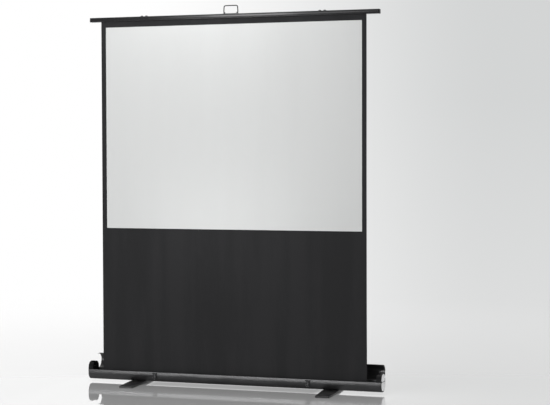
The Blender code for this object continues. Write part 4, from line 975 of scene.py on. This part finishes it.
lightLook = {
    "frontLight": {"place": (-2.1, -5.6, 0.70), "aim": (-0.1, 0.0, 0.70), "size": (3.4, 0.9), "power": 88.0},
    "softLight": {"place": (-0.3, -3.2, 0.9), "aim": (-0.1, 0.0, 1.0), "size": (1.4, 1.4), "power": 6.2},
    "beamLight": {"place": (-0.5, -2.3, 3.7), "aim": (-0.2, 0.0, 2.0), "size": (3.0, 0.8), "power": 12.0},
    "topLight": {"place": (-0.2, -0.6, 2.9), "aim": (-0.2, -0.1, 1.2), "size": (0.8, 1.0), "power": 8.4},
    "lowLight": {"place": (-0.1, -0.5, 0.9), "aim": (-0.1, 0.0, 1.3), "size": (0.8, 0.4), "power": 0.70},
    "highLight": {"place": (0.2, -0.5, 5.0), "aim": (0.2, -0.5, 0.0), "size": (7.0, 2.5), "power": 32.0},
}


def makeFloor(look):
    # a square whose shader mixes a matt and a mirror part, and turns clear away from its middle
    size = look["floorSize"]
    mesh = bpy.data.meshes.new("studioFloor")
    corners = [(-size, -size, 0.0), (size, -size, 0.0), (size, size, 0.0), (-size, size, 0.0)]
    mesh.from_pydata(corners, [], [(0, 1, 2, 3)])
    floor = placeObject("studioFloor", mesh)
    material, tree, shader, where = newMaterial("studio_floor")
    tree.nodes.remove(shader)
    matt, mirror = addNode(tree, "ShaderNodeBsdfDiffuse"), addNode(tree, "ShaderNodeBsdfGlossy")
    # painted shadow: between the feet, right under the case, the floor's matt colour, mirror and glow are
    # darkened towards black
    x, y, _ = splitVector(tree, where)
    aside, away = calc(tree, "ABSOLUTE", x), calc(tree, "ABSOLUTE", y)
    along = ramp(tree, aside, *look["paintedShadowLong"], 1.0, 0.0)
    across = ramp(tree, away, *look["paintedShadowDeep"], 1.0, 0.0)
    under = calc(tree, "MULTIPLY", calc(tree, "MULTIPLY", along, across), look["under"])
    clearOfPaintedShadow = calc(tree, "SUBTRACT", 1.0, under)
    black, white = (0.0, 0.0, 0.0, 1.0), (1.0, 1.0, 1.0, 1.0)
    feed(tree, blendColour(tree, under, opaque(look["floorColour"]), black), matt.inputs["Color"])
    feed(tree, blendColour(tree, under, white, black), mirror.inputs["Color"])
    # only the floor right in front of the screen mirrors clearly
    blur = calc(tree, "MAXIMUM", ramp(tree, aside, *look["clearLong"]), ramp(tree, y, *look["clearRear"]))
    rough = ramp(tree, blur, 0.0, 1.0, look["floorRough"], look["floorBlur"])
    feed(tree, rough, mirror.inputs["Roughness"])
    # the mirror's share grows as the view gets shallower, and ends in front of the screen
    shine = feedAll(tree, addNode(tree, "ShaderNodeFresnel"), {"IOR": look["floorIor"]})[0]
    shallow = calc(tree, "SUBTRACT", shine, look["floorFrom"])
    shallow = calc(tree, "MULTIPLY", shallow, look["floorGloss"])
    share = calc(tree, "MULTIPLY", shallow, ramp(tree, y, *look["mirrorFront"]), clamp=True)
    # the camera sees the floor a little paler than the lights leave it, less so in the painted shadow under
    # the case
    pale = addNode(tree, "ShaderNodeEmission")
    rays = addNode(tree, "ShaderNodeLightPath").outputs
    seen = calc(tree, "MAXIMUM", rays["Is Camera Ray"], rays["Is Glossy Ray"])
    seen = calc(tree, "MULTIPLY", calc(tree, "MAXIMUM", seen, rays["Is Transmission Ray"]), clearOfPaintedShadow)
    feed(tree, calc(tree, "MULTIPLY", seen, look["glow"]), pale.inputs["Strength"])
    both, whole = addNode(tree, "ShaderNodeMixShader"), addNode(tree, "ShaderNodeAddShader")
    faded, clear = addNode(tree, "ShaderNodeMixShader"), addNode(tree, "ShaderNodeBsdfTransparent")
    far = ramp(tree, vectorCalc(tree, "LENGTH", where), look["fadeFrom"], look["fadeTo"])
    joins = [(both, (share, matt.outputs[0], mirror.outputs[0])), (whole, (both.outputs[0], pale.outputs[0])),
             (faded, (far, whole.outputs[0], clear.outputs[0]))]
    for node, sockets in joins:
        feedAll(tree, node, dict(enumerate(sockets)))
    feed(tree, faded.outputs[0], tree.nodes["Material Output"].inputs["Surface"])
    mesh.materials.append(material)


def makeWorld(look):
    # seen straight or in a mirror it is the backdrop, bright on the left; matt surfaces get an even grey
    world = bpy.data.worlds.new("studio")
    bpy.context.scene.world = world
    world.use_nodes = True
    tree = world.node_tree
    x, y, z = splitVector(tree, addNode(tree, "ShaderNodeTexCoord").outputs["Generated"])
    below = ramp(tree, z, *look["paleBelow"], 1.0, 0.0, smooth=False)
    pale = calc(tree, "MAXIMUM", below, ramp(tree, z, *look["paleAbove"]))
    right = blendColour(tree, pale, opaque(look["backRight"]), opaque(look["backPale"]))
    backdrop = blendColour(tree, ramp(tree, x, *look["backTurn"]), opaque(look["backLeft"]), right)
    room = blendColour(tree, ramp(tree, y, *look["roomEnd"]), opaque(look["room"]), backdrop)
    rays = addNode(tree, "ShaderNodeLightPath").outputs
    glossy = calc(tree, "MAXIMUM", rays["Is Glossy Ray"], rays["Is Transmission Ray"])
    colour = blendColour(tree, glossy, opaque(look["ambient"]), room)
    colour = blendColour(tree, rays["Is Camera Ray"], colour, backdrop)
    feed(tree, colour, tree.nodes["Background"].inputs["Color"])


def makeLight(name, look):
    # a rectangle of light turned from its place to its aim
    data = bpy.data.lights.new(name, "AREA")
    data.shape, data.energy = "RECTANGLE", look["power"]
    data.size, data.size_y = look["size"]
    light = placeObject(name, data)
    light.visible_camera = False
    light.location = look["place"]
    aim = Vector(look["aim"]) - Vector(look["place"])
    light.rotation_euler = aim.to_track_quat("-Z", "Y").to_euler()


makeFloor(studioLook)
makeWorld(studioLook)
for name, look in lightLook.items():
    makeLight(name, look)
bpy.context.scene.view_settings.view_transform = "Standard"
print("studio made")
